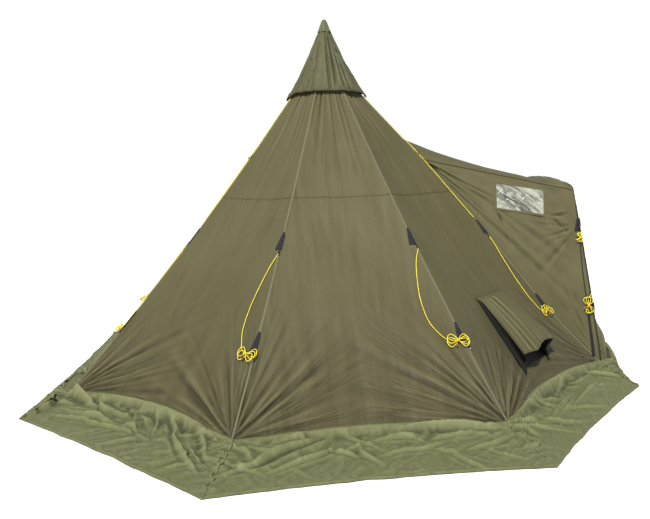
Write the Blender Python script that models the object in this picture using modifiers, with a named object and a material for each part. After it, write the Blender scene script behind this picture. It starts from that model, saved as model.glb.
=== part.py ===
"""Eight-sided tipi tent on a centre pole, with a porch on a bent arch pole.

Metres, +Z up. The origin is on the ground under the centre pole, +X leads out of the door, and the tent is
built about the XZ plane. Ridges are numbered 0 to 7 and panel n lies between ridge n and ridge n + 1.
"""

import math

import bmesh
import bpy
import numpy as np
from mathutils import Matrix, Vector

# Driving dimensions of the cone
SIDES = 8
BASE_RADIUS = 2.30
FIRST_RIDGE_DEG = -67.5
HOOD_HEM_Z = 2.277
NECK_RADIUS = 0.322
CANOPY_TOP_Z = 2.45
RIDGE_SAG = 0.055
PORCH_PULL = 0.085
PORCH_PULL_FROM_Z = 0.45
DOOR_RIDGES = (3, 4)
DOOR_PANEL = 3
ROW_HEIGHTS = (0.0, 0.12, 0.28, 0.43, 0.581, 0.82, 1.045, 1.2015, 1.447, 1.71, 1.95, 2.2, CANOPY_TOP_Z)
COLUMNS = (0.0, 0.07, 0.2, 0.35, 0.5, 0.65, 0.8, 0.93, 1.0)

# Cloth
CLOTH = 0.0015
SEAM_INSET = 0.0009
HEM_Z = 0.014
HEM_RISE = (0.075, 0.040, 0.072, 0.0, 0.072, 0.040, 0.075, 0.060)
PANEL_DIP = 0.022
CORNER_FOLD = 0.007

# Ridge tapes and guy-out patches
TAPE_WIDTH = 0.012
TAPE_LIFT = 0.0005
PATCH_TIPS = (1.2015, 0.581)
PATCH_BASES = (1.045, 0.43)
PATCH_HALF_WIDTH = 0.036

# Snow skirt: the outer corners on the ground beyond ridges 0 to 3, mirrored for 4 to 7
SKIRT_CORNERS = ((-2.33, -1.40), (-1.01, -2.83), (0.90, -2.76), (2.09, -1.51))
SKIRT_BOW = (-0.02, -0.05, -0.03, 0.52, -0.03, -0.05, -0.02, -0.03)
SKIRT_FOLD = 0.034
SKIRT_COLUMNS = 12
SKIRT_ROWS = (0.0, 0.14, 0.38, 0.68, 1.0)

# Porch
DOOR_X = 2.125
WALL_LEAN = 0.07
LEG_Y = 0.88
SHOULDER_Y = 0.53
SHOULDER_Z = 1.42
ARCH_TOP_Z = 1.507
VALLEY_SIDE_Z = 1.71
VALLEY_TOP_Z = 1.96
ROOF_SAG = 0.06
ARCH_POLE_RADIUS = 0.0065
ARCH_INSET = 0.028
FERRULE_REACH = 0.045
FERRULE_SWELL = 1.18

# Door
DOOR_HALF_WIDTH = 0.46
DOOR_SPRING_Z = 1.00
DOOR_TOP_Z = 1.30
DOOR_SILL_Z = 0.05
DOOR_GAP = 0.005
DOOR_FOLD = 0.010

# Window in each porch side: corners as (x, z), and the margin by which the pane laps the hole
WINDOW = ((1.365, 1.284), (1.768, 1.216), (1.787, 1.434), (1.374, 1.505))
WINDOW_LAP = 0.014
PANE = 0.0008

# Low vents, in the middle of panels 2 and 4
VENT_TOP_Z = 0.675
VENT_TOP_WIDTH = 0.42
VENT_HEM_WIDTH = 0.51
VENT_LENGTH = 0.54
VENT_OPEN_DEG = 12.0
VENT_HOLE = (0.34, 0.38)
VENT_HOLE_START = 0.05
VENT_LIFT = 0.006

# Hood, crown and centre pole
HOOD_RADIUS = 0.340
HOOD_TOP_RADIUS = 0.045
HOOD_TOP_Z = 2.83
APEX_Z = 2.935
CROWN_Z = 2.8605
CROWN_RADIUS = 0.021
STRAP_WIDTH = 0.014
POLE_FOOT_RADIUS = 0.040
LOWER_TUBE_RADIUS = 0.0160
LOWER_TUBE_BORE = 0.0145
UPPER_TUBE_RADIUS = 0.0139
LOWER_TUBE_TOP = 1.50
UPPER_TUBE_FOOT = 1.06

# Cords
CORD_RADIUS = 0.0025
HANK_PERIODS = 2.5
HANK_LOBE = 0.075
HANK_WAIST = 0.40
PORCH_LOBE = 0.055
HANK_PITCH = 0.0125
HANK_TURN_DEG = 24.0
HANK_STEPS = 18
HANK_ASIDE = (0.045, 0.045, 0.052, 0.088)
HANK_RAISE = (0.012, 0.012, 0.036, 0.012)
SLACK = (0.10, 0.15, 0.18, 0.11)
HOOD_CORD_RIDGES = (0, 3, 4, 7)

OLIVE = (0.105, 0.100, 0.050)
OLIVE_LIGHT = (0.150, 0.160, 0.080)
OLIVE_DARK = (0.060, 0.058, 0.030)
BLACK = (0.012, 0.011, 0.014)
YELLOW = (0.850, 0.680, 0.030)

for old in list(bpy.data.objects):
    bpy.data.objects.remove(old)
tent = bpy.data.collections.new("tipi_tent")
cutters = bpy.data.collections.new("cutters")
for made in (tent, cutters):
    bpy.context.scene.collection.children.link(made)
cutters.hide_render = True


def finish(name, colour, roughness, metallic=0.0, alpha=1.0):
    """A Principled material."""
    made = bpy.data.materials.new(name)
    made.use_nodes = True
    shader = made.node_tree.nodes["Principled BSDF"]
    shader.inputs["Base Color"].default_value = (*colour, 1.0)
    shader.inputs["Roughness"].default_value = roughness
    shader.inputs["Metallic"].default_value = metallic
    shader.inputs["Alpha"].default_value = alpha
    return made


def place(name, data, material, collection=tent):
    obj = bpy.data.objects.new(name, data)
    data.materials.append(material)
    collection.objects.link(obj)
    return obj


def mesh_from(name, corners, faces):
    mesh = bpy.data.meshes.new(name)
    mesh.from_pydata([tuple(c) for c in corners], [], faces)
    mesh.update()
    return mesh


def solidify(obj, thickness, side):
    """Gives a surface its thickness, on the side that its normals point to (1) or away from it (-1)."""
    shell = obj.modifiers.new("thickness", "SOLIDIFY")
    shell.thickness = thickness
    shell.offset = side
    return obj


def sheet(name, rows, material, thickness=CLOTH, side=-1, flip=False):
    """A cloth panel through rows of points, all rows of one length. Points that coincide are joined."""
    across = len(rows[0])
    corners = [point for row in rows for point in row]
    faces = []
    for i in range(len(rows) - 1):
        for j in range(across - 1):
            a = i * across + j
            quad = (a, a + 1, a + across + 1, a + across)
            faces.append(quad[::-1] if flip else quad)
    mesh = mesh_from(name, corners, faces)
    work = bmesh.new()
    work.from_mesh(mesh)
    bmesh.ops.remove_doubles(work, verts=work.verts, dist=0.0002)
    work.to_mesh(mesh)
    work.free()
    mesh.shade_smooth()
    return solidify(place(name, mesh, material), thickness, side)


def tube(name, points, radius, material, resolution=2, swell=None):
    """A round bar, wire or cord through the points. Swell gives each point's share of the radius."""
    curve = bpy.data.curves.new(name, "CURVE")
    curve.dimensions = "3D"
    curve.bevel_depth = radius
    curve.bevel_resolution = resolution
    curve.use_fill_caps = True
    spline = curve.splines.new("POLY")
    spline.points.add(len(points) - 1)
    for i, (knot, point) in enumerate(zip(spline.points, points)):
        knot.co = (*point, 1.0)
        knot.radius = swell[i] if swell else 1.0
    return place(name, curve, material)


def turned(name, profile, material, steps=20, ring=False):
    """A turned piece about the Z axis from (radius, height) points, top to bottom down its outer side.

    A ring's profile closes on itself. Any other starts and ends on the axis."""
    points = [(radius, 0.0, height) for radius, height in profile]
    edges = [(i, i + 1) for i in range(len(points) - 1)]
    if ring:
        edges.append((len(points) - 1, 0))
    mesh = bpy.data.meshes.new(name)
    mesh.from_pydata(points, edges, [])
    obj = place(name, mesh, material)
    screw = obj.modifiers.new("turn", "SCREW")
    screw.steps = steps
    screw.render_steps = steps
    screw.use_merge_vertices = True
    screw.merge_threshold = 0.00001
    return obj


def cut(obj, corners_near, corners_far):
    """Cuts a four-sided hole through obj, with a wedge between two quadrilaterals."""
    faces = [(0, 1, 2, 3), (7, 6, 5, 4)] + [(i, i + 4, (i + 1) % 4 + 4, (i + 1) % 4) for i in range(4)]
    mesh = mesh_from(obj.name + "_cutter", [*corners_near, *corners_far], faces)
    work = bmesh.new()
    work.from_mesh(mesh)
    bmesh.ops.recalc_face_normals(work, faces=work.faces)
    work.to_mesh(mesh)
    work.free()
    tool = bpy.data.objects.new(obj.name + "_cutter", mesh)
    tool.hide_render = True
    tool.display_type = "WIRE"
    cutters.objects.link(tool)
    hole = obj.modifiers.new("hole", "BOOLEAN")
    hole.operation = "DIFFERENCE"
    hole.object = tool


def mix(a, b, share):
    return a + (b - a) * share


def mirrored(points):
    return [Vector((p.x, -p.y, p.z)) for p in points]


def smooth_route(knots, count):
    """Evenly spread points on the smooth curve through the knots."""
    knots = [Vector(knot) for knot in knots]
    ends = [knots[0] * 2 - knots[1], *knots, knots[-1] * 2 - knots[-2]]
    fine = []
    for i in range(1, len(ends) - 2):
        p0, p1, p2, p3 = ends[i - 1 : i + 3]
        for step in range(20):
            t = step / 20
            fine.append(
                (p1 * 2 + (p2 - p0) * t + (p0 * 2 - p1 * 5 + p2 * 4 - p3) * t**2
                 + (p1 * 3 - p0 - p2 * 3 + p3) * t**3) / 2
            )
    fine.append(knots[-1])
    along = np.concatenate([[0.0], np.cumsum([(b - a).length for a, b in zip(fine, fine[1:])])])
    wanted = np.linspace(0.0, along[-1], count)
    axes = [np.interp(wanted, along, [p[k] for p in fine]) for k in range(3)]
    return [Vector(xyz) for xyz in zip(*axes)]


def route_length(points):
    return sum((b - a).length for a, b in zip(points, points[1:]))


def ridge_direction(ridge):
    angle = math.radians(FIRST_RIDGE_DEG + 360.0 / SIDES * ridge)
    return Vector((math.sin(angle), -math.cos(angle), 0.0))


def ridge_radius(ridge, z):
    """The ridge hangs slightly hollow between its pegged foot and the hood. The porch pulls its two out."""
    share = z / HOOD_HEM_Z
    radius = mix(BASE_RADIUS, NECK_RADIUS, share) - 4 * RIDGE_SAG * share * (1 - share)
    if ridge % SIDES in DOOR_RIDGES:
        pulled = min(max((z - PORCH_PULL_FROM_Z) / (HOOD_HEM_Z - PORCH_PULL_FROM_Z), 0.0), 1.0)
        radius += PORCH_PULL * math.sin(math.pi * pulled)
    return radius


def ridge_point(ridge, z):
    """A point on the ridge, on straight stretches between the row heights that all pieces share."""
    radii = [ridge_radius(ridge, height) for height in ROW_HEIGHTS]
    return ridge_direction(ridge) * float(np.interp(z, ROW_HEIGHTS, radii)) + Vector((0.0, 0.0, z))


def panel_normal(panel):
    """The mean outward normal of a panel."""
    low = ridge_point(panel + 1, 0.0) - ridge_point(panel, 0.0)
    up = ridge_point(panel, HOOD_HEM_Z) + ridge_point(panel + 1, HOOD_HEM_Z)
    up -= ridge_point(panel, 0.0) + ridge_point(panel + 1, 0.0)
    return low.cross(up).normalized()


def panel_frame(panel):
    """Directions along the hem, outward from the cloth and down the cloth, of a panel's middle."""
    along = (ridge_point(panel + 1, 0.0) - ridge_point(panel, 0.0)).normalized()
    out = panel_normal(panel)
    return along, out, out.cross(along) * -1.0


def canopy_point(panel, z, across):
    """A point on a panel's outer face, with its dip between the ridges and the folds into its two pegs."""
    low = ridge_point(panel, z)
    high = ridge_point(panel + 1, z)
    inner = COLUMNS[1]
    bent = 4 * across * (1 - across) if inner < across < 1 - inner else 0.0
    dip = PANEL_DIP * bent * math.sin(math.pi * min(max(z / CANOPY_TOP_Z, 0.0), 1.0))
    near_peg = max(0.0, 1.0 - z / 0.9) * bent
    fold = CORNER_FOLD * near_peg * math.sin(across * math.pi * 6.0 + panel)
    return low.lerp(high, across) - panel_normal(panel) * (dip - fold)


def hem_height(panel, across):
    return HEM_Z + 4 * HEM_RISE[panel] * across * (1 - across)


def raised(z, low):
    """A row's height after its foot is lifted from the ground to the hem."""
    return z + low * max(0.0, 1.0 - z / 0.35)


def inset_across(panel, z, across, inset):
    """Moves the first and last column away from the ridge by the seam's inset."""
    width = (ridge_point(panel + 1, z) - ridge_point(panel, z)).length
    return min(max(across, inset / width), 1.0 - inset / width)


def build_canopy(cloth):
    """Seven full panels, and the gable over the porch."""
    for panel in range(SIDES):
        if panel == DOOR_PANEL:
            continue
        rows = []
        for height in ROW_HEIGHTS:
            row = []
            for across in COLUMNS:
                z = raised(height, hem_height(panel, across))
                row.append(canopy_point(panel, z, inset_across(panel, z, across, SEAM_INSET)))
            rows.append(row)
        made = sheet(f"canopy_panel_{panel + 1}", rows, cloth)
        if panel in (DOOR_PANEL - 1, DOOR_PANEL + 1):
            cut_vent(made, panel)
    rows = []
    for share in (0.0, 0.25, 0.5, 0.75, 1.0):
        row = []
        for across in COLUMNS:
            z = mix(valley_height(across) + 0.006, CANOPY_TOP_Z, share)
            row.append(canopy_point(DOOR_PANEL, z, inset_across(DOOR_PANEL, z, across, TAPE_WIDTH + 0.003)))
        rows.append(row)
    sheet("canopy_door_gable", rows, cloth)


def valley_height(across):
    """The height at which the porch roof meets the cone."""
    return mix(VALLEY_TOP_Z, VALLEY_SIDE_Z, abs(2 * across - 1) ** 1.6)


def tape_half_width(z):
    """The tape widens into a triangular patch below each patch's tip."""
    for tip, base in zip(PATCH_TIPS, PATCH_BASES):
        if base - 0.0001 <= z <= tip:
            return mix(PATCH_HALF_WIDTH, TAPE_WIDTH, (z - base) / (tip - base))
    return TAPE_WIDTH


def porch_direction(ridge, z):
    """The horizontal direction from a door ridge along the porch's side wall at height z."""
    here = ridge_point(ridge, z)
    side = -1 if ridge == DOOR_RIDGES[0] else 1
    return (wall_front(z, side) - here).normalized()


def build_ridge_tapes(tape):
    """A binding over each ridge, with its two guy-out patches, in one length of webbing."""
    extra = [base - 0.004 for base in PATCH_BASES]
    heights = sorted([*ROW_HEIGHTS[1:], HEM_Z + 0.012, *extra])
    for ridge in range(SIDES):
        rows = []
        for z in heights:
            here = ridge_point(ridge, z)
            step = 0.01 if z < CANOPY_TOP_Z else -0.01
            up = (ridge_point(ridge, z + step) - here).normalized() * (1 if step > 0 else -1)
            left = (ridge_point(ridge - 1, z) - here).normalized()
            right = (ridge_point(ridge + 1, z) - here).normalized()
            if z < VALLEY_SIDE_Z and ridge == DOOR_RIDGES[0]:
                right = porch_direction(ridge, z)
            if z < VALLEY_SIDE_Z and ridge == DOOR_RIDGES[1]:
                left = porch_direction(ridge, z)
            left_out = up.cross(left).normalized()
            right_out = right.cross(up).normalized()
            crest = (left_out + right_out) / (1.0 + left_out.dot(right_out))
            width = tape_half_width(z)
            widths = [width, width]
            if ridge == DOOR_RIDGES[0]:
                widths[1] = TAPE_WIDTH
            if ridge == DOOR_RIDGES[1]:
                widths[0] = TAPE_WIDTH
            rows.append([
                here + left * widths[0] + left_out * TAPE_LIFT,
                here + crest * TAPE_LIFT,
                here + right * widths[1] + right_out * TAPE_LIFT,
            ])
        sheet(f"ridge_tape_{ridge + 1}", rows, tape, side=1)


def skirt_corner(ridge):
    ridge %= SIDES
    if ridge < len(SKIRT_CORNERS):
        return Vector((*SKIRT_CORNERS[ridge], 0.0))
    x, y = SKIRT_CORNERS[SIDES - 1 - ridge]
    return Vector((x, -y, 0.0))


def build_skirt(cloth):
    """The strip that lies on the ground outside the hem, with soft folds that run along it."""
    for panel in range(SIDES):
        outward = ridge_direction(panel) + ridge_direction(panel + 1)
        outward.normalize()
        rows = []
        for share in SKIRT_ROWS:
            row = []
            for j in range(SKIRT_COLUMNS + 1):
                across = j / SKIRT_COLUMNS
                foot_z = hem_height(panel, across)
                foot = canopy_point(panel, foot_z, across)
                if panel == DOOR_PANEL:
                    foot = Vector((DOOR_X, mix(-LEG_Y, LEG_Y, across), DOOR_SILL_Z * 0.4))
                foot += outward * 0.005
                edge = skirt_corner(panel).lerp(skirt_corner(panel + 1), across)
                bow = 4 * across * (1 - across)
                if panel == DOOR_PANEL:
                    bow = bow**2.2
                edge += outward * SKIRT_BOW[panel] * bow
                point = foot.lerp(edge, share)
                settled = max(0.0, 1.0 - share / SKIRT_ROWS[1])
                calm = math.sin(math.pi * share) * math.sin(math.pi * across) ** 0.5
                wave = math.sin(across * math.pi * 5 + share * 4.0 + panel * 1.7)
                height = 0.6 if panel == DOOR_PANEL else 1.0
                point.z = foot.z * settled + SKIRT_FOLD * height * calm * (0.5 + 0.5 * wave)
                row.append(point)
            rows.append(row)
        for row in rows:
            lead = (row[1] - row[0]).normalized() * 0.0012
            tail = (row[-2] - row[-1]).normalized() * 0.0012
            row[0] += lead
            row[-1] += tail
        name = "door_skirt" if panel == DOOR_PANEL else f"snow_skirt_{panel + 1}"
        sheet(name, rows, cloth, side=1, flip=True)


def leg_point(z, side):
    """The outer line of the arch, from the peg to the shoulder."""
    share = z / SHOULDER_Z
    return Vector((DOOR_X - WALL_LEAN * z, side * mix(LEG_Y, SHOULDER_Y, share**1.15), z))


def arch_line(inset=0.0, count=6):
    """The arch from the near peg over the top to the far peg, moved in towards its middle by the inset."""
    near = [leg_point(z, -1) for z in (0.0, 0.3, 0.62, 0.95, 1.22, SHOULDER_Z)]
    head = []
    for i in range(1, count):
        angle = math.pi * i / count
        y = -SHOULDER_Y * math.cos(angle)
        z = SHOULDER_Z + (ARCH_TOP_Z - SHOULDER_Z) * math.sin(angle) ** 0.8
        head.append(Vector((DOOR_X - WALL_LEAN * z, y, z)))
    line = near + head + mirrored(reversed(near))
    if not inset:
        return line
    moved = []
    for i, point in enumerate(line):
        along = (line[min(i + 1, len(line) - 1)] - line[max(i - 1, 0)]).normalized()
        inward = along.cross(Vector((1.0, 0.0, WALL_LEAN)).normalized())
        moved.append(point + inward * inset)
    return moved


def wall_front(z, side):
    """The front edge of a porch side wall at height z: the arch's leg, and above its shoulder the roof seam."""
    if z <= SHOULDER_Z:
        return leg_point(z, side)
    ridge = DOOR_RIDGES[0] if side < 0 else DOOR_RIDGES[1]
    share = (z - SHOULDER_Z) / (VALLEY_SIDE_Z - SHOULDER_Z)
    return leg_point(SHOULDER_Z, side).lerp(ridge_point(ridge, VALLEY_SIDE_Z), share)


def wall_point(x, z, side):
    """The point of a porch side wall at x and z. The wall is ruled level, from the ridge to its front edge."""
    ridge = DOOR_RIDGES[0] if side < 0 else DOOR_RIDGES[1]
    back = ridge_point(ridge, z)
    front = wall_front(z, side)
    return back.lerp(front, (x - back.x) / (front.x - back.x))


def wall_normal(x, z, side):
    here = wall_point(x, z, side)
    normal = (wall_point(x + 0.01, z, side) - here).cross(wall_point(x, z + 0.01, side) - here)
    return normal.normalized() * (-1 if normal.y * side < 0 else 1)


def build_porch(cloth, glass):
    """Roof, two side walls with their windows, and the front wall round the doorway."""
    heights = (0.03, 0.28, 0.581, 0.82, 1.045, 1.2015, SHOULDER_Z, 1.56, 1.69)
    for side, label in ((-1, "near"), (1, "far")):
        ridge = DOOR_RIDGES[0] if side < 0 else DOOR_RIDGES[1]
        rows = []
        for z in heights:
            back = ridge_point(ridge, z)
            front = wall_front(z, side)
            run = (front - back).length
            trim = (TAPE_WIDTH + 0.006) / run
            shares = [trim, 0.2, 0.4, 0.6, 0.8, 1.0 - 0.004 / run]
            row = []
            for share in shares:
                point = back.lerp(front, min(max(share, trim), 1.0 - 0.004 / run))
                point.z -= 0.006 if z >= SHOULDER_Z else 0.0
                row.append(point)
            rows.append(row)
        wall = sheet(f"porch_side_{label}", rows, cloth, flip=side > 0)
        hole = [window_corner(i, side, -WINDOW_LAP) for i in range(4)]
        out = Vector((0.0, 0.05 * side, 0.0))
        cut(wall, [p + out for p in hole], [p - out for p in hole])
        build_window(f"window_{label}", side, glass)
    build_roof(cloth)
    build_front_wall(cloth)


def window_corner(index, side, grow):
    """A corner of the window, moved away from its middle by grow."""
    x, z = WINDOW[index]
    middle_x = sum(corner[0] for corner in WINDOW) / 4
    middle_z = sum(corner[1] for corner in WINDOW) / 4
    x += math.copysign(grow, x - middle_x)
    z += math.copysign(grow, z - middle_z)
    return wall_point(x, z, side)


def build_window(name, side, glass):
    """A clear pane that laps the hole all round and follows the wall."""
    a, b, c, d = [Vector((x, 0.0, z)) for x, z in WINDOW]
    rows = []
    for up in (0.0, 0.33, 0.67, 1.0):
        row = []
        for across in (0.0, 0.25, 0.5, 0.75, 1.0):
            at = a.lerp(b, across).lerp(d.lerp(c, across), up)
            row.append(wall_point(at.x, at.z, side) + wall_normal(at.x, at.z, side) * 0.0016)
        rows.append(row)
    sheet(name, rows, glass, thickness=PANE, side=1, flip=side > 0)


def build_roof(cloth):
    """The vault from the valley on the cone to the arch, hollow along its ridge."""
    spans = (-1.0, -0.72, -0.45, -0.2, 0.0, 0.2, 0.45, 0.72, 1.0)
    rows = []
    for share in (0.006, 0.25, 0.5, 0.75, 0.985):
        row = []
        for span in spans:
            across = inset_across(DOOR_PANEL, VALLEY_SIDE_Z, 0.5 + 0.5 * span, TAPE_WIDTH + 0.006)
            back = canopy_point(DOOR_PANEL, valley_height(across), across)
            angle = math.pi * (0.5 + 0.5 * span)
            y = -SHOULDER_Y * math.cos(angle)
            z = SHOULDER_Z + (ARCH_TOP_Z - SHOULDER_Z) * max(math.sin(angle), 0.0) ** 0.8
            front = Vector((DOOR_X - WALL_LEAN * z, y, z))
            point = back.lerp(front, share)
            point.z -= 4 * ROOF_SAG * share * (1 - share) * (1 - span**2)
            row.append(point)
        rows.append(row)
    sheet("porch_roof", rows, cloth, flip=True)


def doorway_outline(grow):
    """The doorway's edge in its wall, as (y, z) from the near sill over the arched head to the far sill."""
    half = DOOR_HALF_WIDTH + grow
    points = [(-half, DOOR_SILL_Z)]
    for i in range(9):
        angle = math.pi * i / 8
        rise = (DOOR_TOP_Z + grow - DOOR_SPRING_Z) * math.sin(angle)
        points.append((-half * math.cos(angle), DOOR_SPRING_Z + rise))
    return points + [(half, DOOR_SILL_Z)]


def build_front_wall(cloth):
    """One flat sheet round the doorway, cut to the arch."""
    outer = [(p.y, p.z) for p in arch_line(0.008)]
    outer[0] = (outer[0][0], DOOR_SILL_Z * 0.6)
    outer[-1] = (outer[-1][0], DOOR_SILL_Z * 0.6)
    inner = doorway_outline(0.0)
    inner[0] = (inner[0][0], DOOR_SILL_Z * 0.6)
    inner[-1] = (inner[-1][0], DOOR_SILL_Z * 0.6)
    outline = outer + inner[::-1]
    curve = bpy.data.curves.new("porch_front_wall", "CURVE")
    curve.dimensions = "2D"
    curve.fill_mode = "BOTH"
    curve.extrude = CLOTH / 2
    spline = curve.splines.new("POLY")
    spline.use_cyclic_u = True
    spline.points.add(len(outline) - 1)
    rise = math.hypot(1.0, WALL_LEAN)
    for knot, (y, z) in zip(spline.points, outline):
        knot.co = (y, z * rise, 0.0, 1.0)
    wall = place("porch_front_wall", curve, cloth)
    up = Vector((-WALL_LEAN, 0.0, 1.0)).normalized()
    across = Vector((0.0, 1.0, 0.0))
    out = across.cross(up)
    turn = Matrix((across, up, out)).transposed().to_4x4()
    wall.matrix_world = Matrix.Translation((DOOR_X - 0.004, 0.0, 0.0)) @ turn


def build_door(cloth, metal):
    """The door hangs from its far edge, and its zip slider runs up the near jamb."""
    hinge = Vector((DOOR_X - WALL_LEAN * DOOR_SILL_Z, DOOR_HALF_WIDTH - 0.002, DOOR_SILL_Z))
    columns = 10
    rows = []
    half = DOOR_HALF_WIDTH - DOOR_GAP
    for up in (0.0, 0.16, 0.34, 0.52, 0.7, 0.86, 1.0):
        row = []
        for j in range(columns + 1):
            y = mix(-half, half, j / columns)
            head = DOOR_SPRING_Z + (DOOR_TOP_Z - DOOR_GAP - DOOR_SPRING_Z) * math.sqrt(max(0.0, 1 - (y / half) ** 2))
            z = mix(DOOR_SILL_Z, head - 0.004, up)
            calm = math.sin(math.pi * j / columns) * math.sin(math.pi * (0.1 + 0.8 * up))
            x = DOOR_X - WALL_LEAN * z - 0.003 + DOOR_FOLD * calm * math.sin(y * 22.0)
            row.append(Vector((x, y, z)) - hinge)
        rows.append(row)
    door = sheet("door_panel", rows, cloth)
    door.location = hinge
    slider = zip_slider("door_zip_slider", metal)
    z = DOOR_SILL_Z + 0.05
    slider.location = (DOOR_X - WALL_LEAN * z, -DOOR_HALF_WIDTH - 0.012, z)
    slider.rotation_euler = (0.0, -math.atan(WALL_LEAN), 0.0)


def zip_slider(name, metal):
    """A moulded body with a tab hanging from its bridge, drawn as one outline and given its depth."""
    outline = [(-0.006, 0.010), (-0.003, 0.014), (0.003, 0.014), (0.006, 0.010), (0.006, -0.004), (0.003, -0.008),
               (0.003, -0.030), (0.0045, -0.034), (0.0045, -0.050), (-0.0045, -0.050), (-0.0045, -0.034),
               (-0.003, -0.030), (-0.003, -0.008), (-0.006, -0.004)]
    corners = [(0.0, y, z) for y, z in outline]
    mesh = mesh_from(name, corners, [tuple(range(len(corners)))])
    work = bmesh.new()
    work.from_mesh(mesh)
    bmesh.ops.translate(work, verts=work.verts, vec=(0.0025, 0.0, 0.0))
    bmesh.ops.recalc_face_normals(work, faces=work.faces)
    if work.faces[:][0].normal.x < 0:
        bmesh.ops.reverse_faces(work, faces=work.faces)
    work.to_mesh(mesh)
    work.free()
    return solidify(place(name, mesh, metal), 0.004, 1)


def vent_place(panel):
    """The middle of the vent's top edge, and the panel's directions there."""
    along, out, down = panel_frame(panel)
    top = (ridge_point(panel, VENT_TOP_Z) + ridge_point(panel + 1, VENT_TOP_Z)) / 2
    return top, along, out, down


def cut_vent(panel_obj, panel):
    top, along, out, down = vent_place(panel)
    width, length = VENT_HOLE
    corners = []
    for side, far in ((-1, 0), (1, 0), (1, 1), (-1, 1)):
        corners.append(top + along * side * width / 2 + down * (VENT_HOLE_START + far * length))
    cut(panel_obj, [c + out * 0.06 for c in corners], [c - out * 0.08 for c in corners])


def build_vents(cloth, net):
    """An awning on each low vent, hinged along its top edge, and the net behind the hole."""
    for panel, label in ((DOOR_PANEL - 1, "near"), (DOOR_PANEL + 1, "far")):
        top, along, out, down = vent_place(panel)
        hinge = top + out * VENT_LIFT
        angle = math.radians(VENT_OPEN_DEG)
        slope = down * math.cos(angle) + out * math.sin(angle)
        normal = out * math.cos(angle) - down * math.sin(angle)
        rows = []
        for share in (0.0, 0.25, 0.5, 0.75, 1.0):
            half = mix(VENT_TOP_WIDTH, VENT_HEM_WIDTH, share) / 2
            row = []
            for j in range(9):
                across = -1 + 2 * j / 8
                crown = 0.020 * math.sin(math.pi * share * 0.9) * (1 - across**2)
                row.append(slope * VENT_LENGTH * share + along * half * across + normal * (crown + 0.001))
            rows.append(row[::-1])
        awning = sheet(f"vent_awning_{label}", rows, cloth, side=1)
        awning.location = hinge
        rows = []
        width, length = VENT_HOLE
        for share in (0.0, 0.25, 0.5, 0.75, 1.0):
            row = []
            for j in range(7):
                across = (-1 + 2 * j / 6) * (width / 2 + 0.012)
                at = top + along * across + down * (VENT_HOLE_START - 0.012 + share * (length + 0.024))
                row.append(on_panel(panel, at) - out * (CLOTH + 0.004))
            rows.append(row[::-1])
        sheet(f"vent_net_{label}", rows, net, thickness=0.0008)


def on_panel(panel, at):
    """The point of a panel's outer face at the same height and the same share across as a point beside it."""
    low = ridge_point(panel, at.z)
    high = ridge_point(panel + 1, at.z)
    run = high - low
    return canopy_point(panel, at.z, (at - low).dot(run) / run.length_squared)


def build_hood(cloth, tip_cloth):
    """The vent hood is a cone of cloth that stands clear of the canopy's neck."""
    rows = []
    around = 24
    for share in (0.0, 0.06, 0.3, 0.6, 1.0):
        z = mix(HOOD_HEM_Z, HOOD_TOP_Z, share)
        radius = mix(HOOD_RADIUS, HOOD_TOP_RADIUS, share) - 0.012 * math.sin(math.pi * share)
        row = []
        for j in range(around + 1):
            angle = 2 * math.pi * j / around
            ripple = 0.004 * (1 - share) * math.cos(angle * SIDES / 2)
            row.append(Vector(((radius + ripple) * math.sin(angle), -(radius + ripple) * math.cos(angle), z)))
        rows.append(row)
    sheet("vent_hood", rows, cloth)
    outer = [(0.0, APEX_Z), (0.012, APEX_Z - 0.003), (0.023, APEX_Z - 0.015), (0.034, APEX_Z - 0.045),
             (0.0500, HOOD_TOP_Z - 0.002), (0.0565, HOOD_TOP_Z - 0.016)]
    inner = [(0.0548, HOOD_TOP_Z - 0.016), (0.0483, HOOD_TOP_Z - 0.002), (0.0325, APEX_Z - 0.046),
             (0.0215, APEX_Z - 0.0175), (0.0115, APEX_Z - 0.0055), (0.0, APEX_Z - 0.0025)]
    turned("hood_tip", outer + inner, tip_cloth, 16)


def build_crown(webbing):
    """A small disc over the pole's top, with a strap down to the neck of the canopy at each ridge."""
    corners = [Vector((0.0, 0.0, CROWN_Z))]
    faces = []
    for ridge in range(SIDES):
        out = ridge_direction(ridge)
        side = Vector((-out.y, out.x, 0.0)) * STRAP_WIDTH / 2
        foot = ridge_point(ridge, CANOPY_TOP_Z)
        foot = foot + (Vector((0.0, 0.0, CROWN_Z)) - foot).normalized() * 0.004 - out * 0.004
        middle = (out * CROWN_RADIUS + Vector((0.0, 0.0, CROWN_Z - 0.002))).lerp(foot, 0.45) - out * 0.004
        start = len(corners)
        for at in (out * CROWN_RADIUS + Vector((0.0, 0.0, CROWN_Z)), middle, foot):
            corners += [at - side, at + side]
        faces.append((start + 1, start, start + 2, start + 3))
        faces.append((start + 3, start + 2, start + 4, start + 5))
    for ridge in range(SIDES):
        start = 1 + 6 * ridge
        after = 1 + 6 * ((ridge + 1) % SIDES)
        faces.append((0, start, start + 1))
        faces.append((0, start + 1, after))
    mesh = mesh_from("top_strap_crown", corners, faces)
    work = bmesh.new()
    work.from_mesh(mesh)
    bmesh.ops.remove_doubles(work, verts=work.verts, dist=0.0001)
    bmesh.ops.recalc_face_normals(work, faces=work.faces)
    if sum(face.normal.z for face in work.faces) < 0:
        bmesh.ops.reverse_faces(work, faces=work.faces)
    work.to_mesh(mesh)
    work.free()
    solidify(place("top_strap_crown", mesh, webbing), 0.0015, 1)


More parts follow.
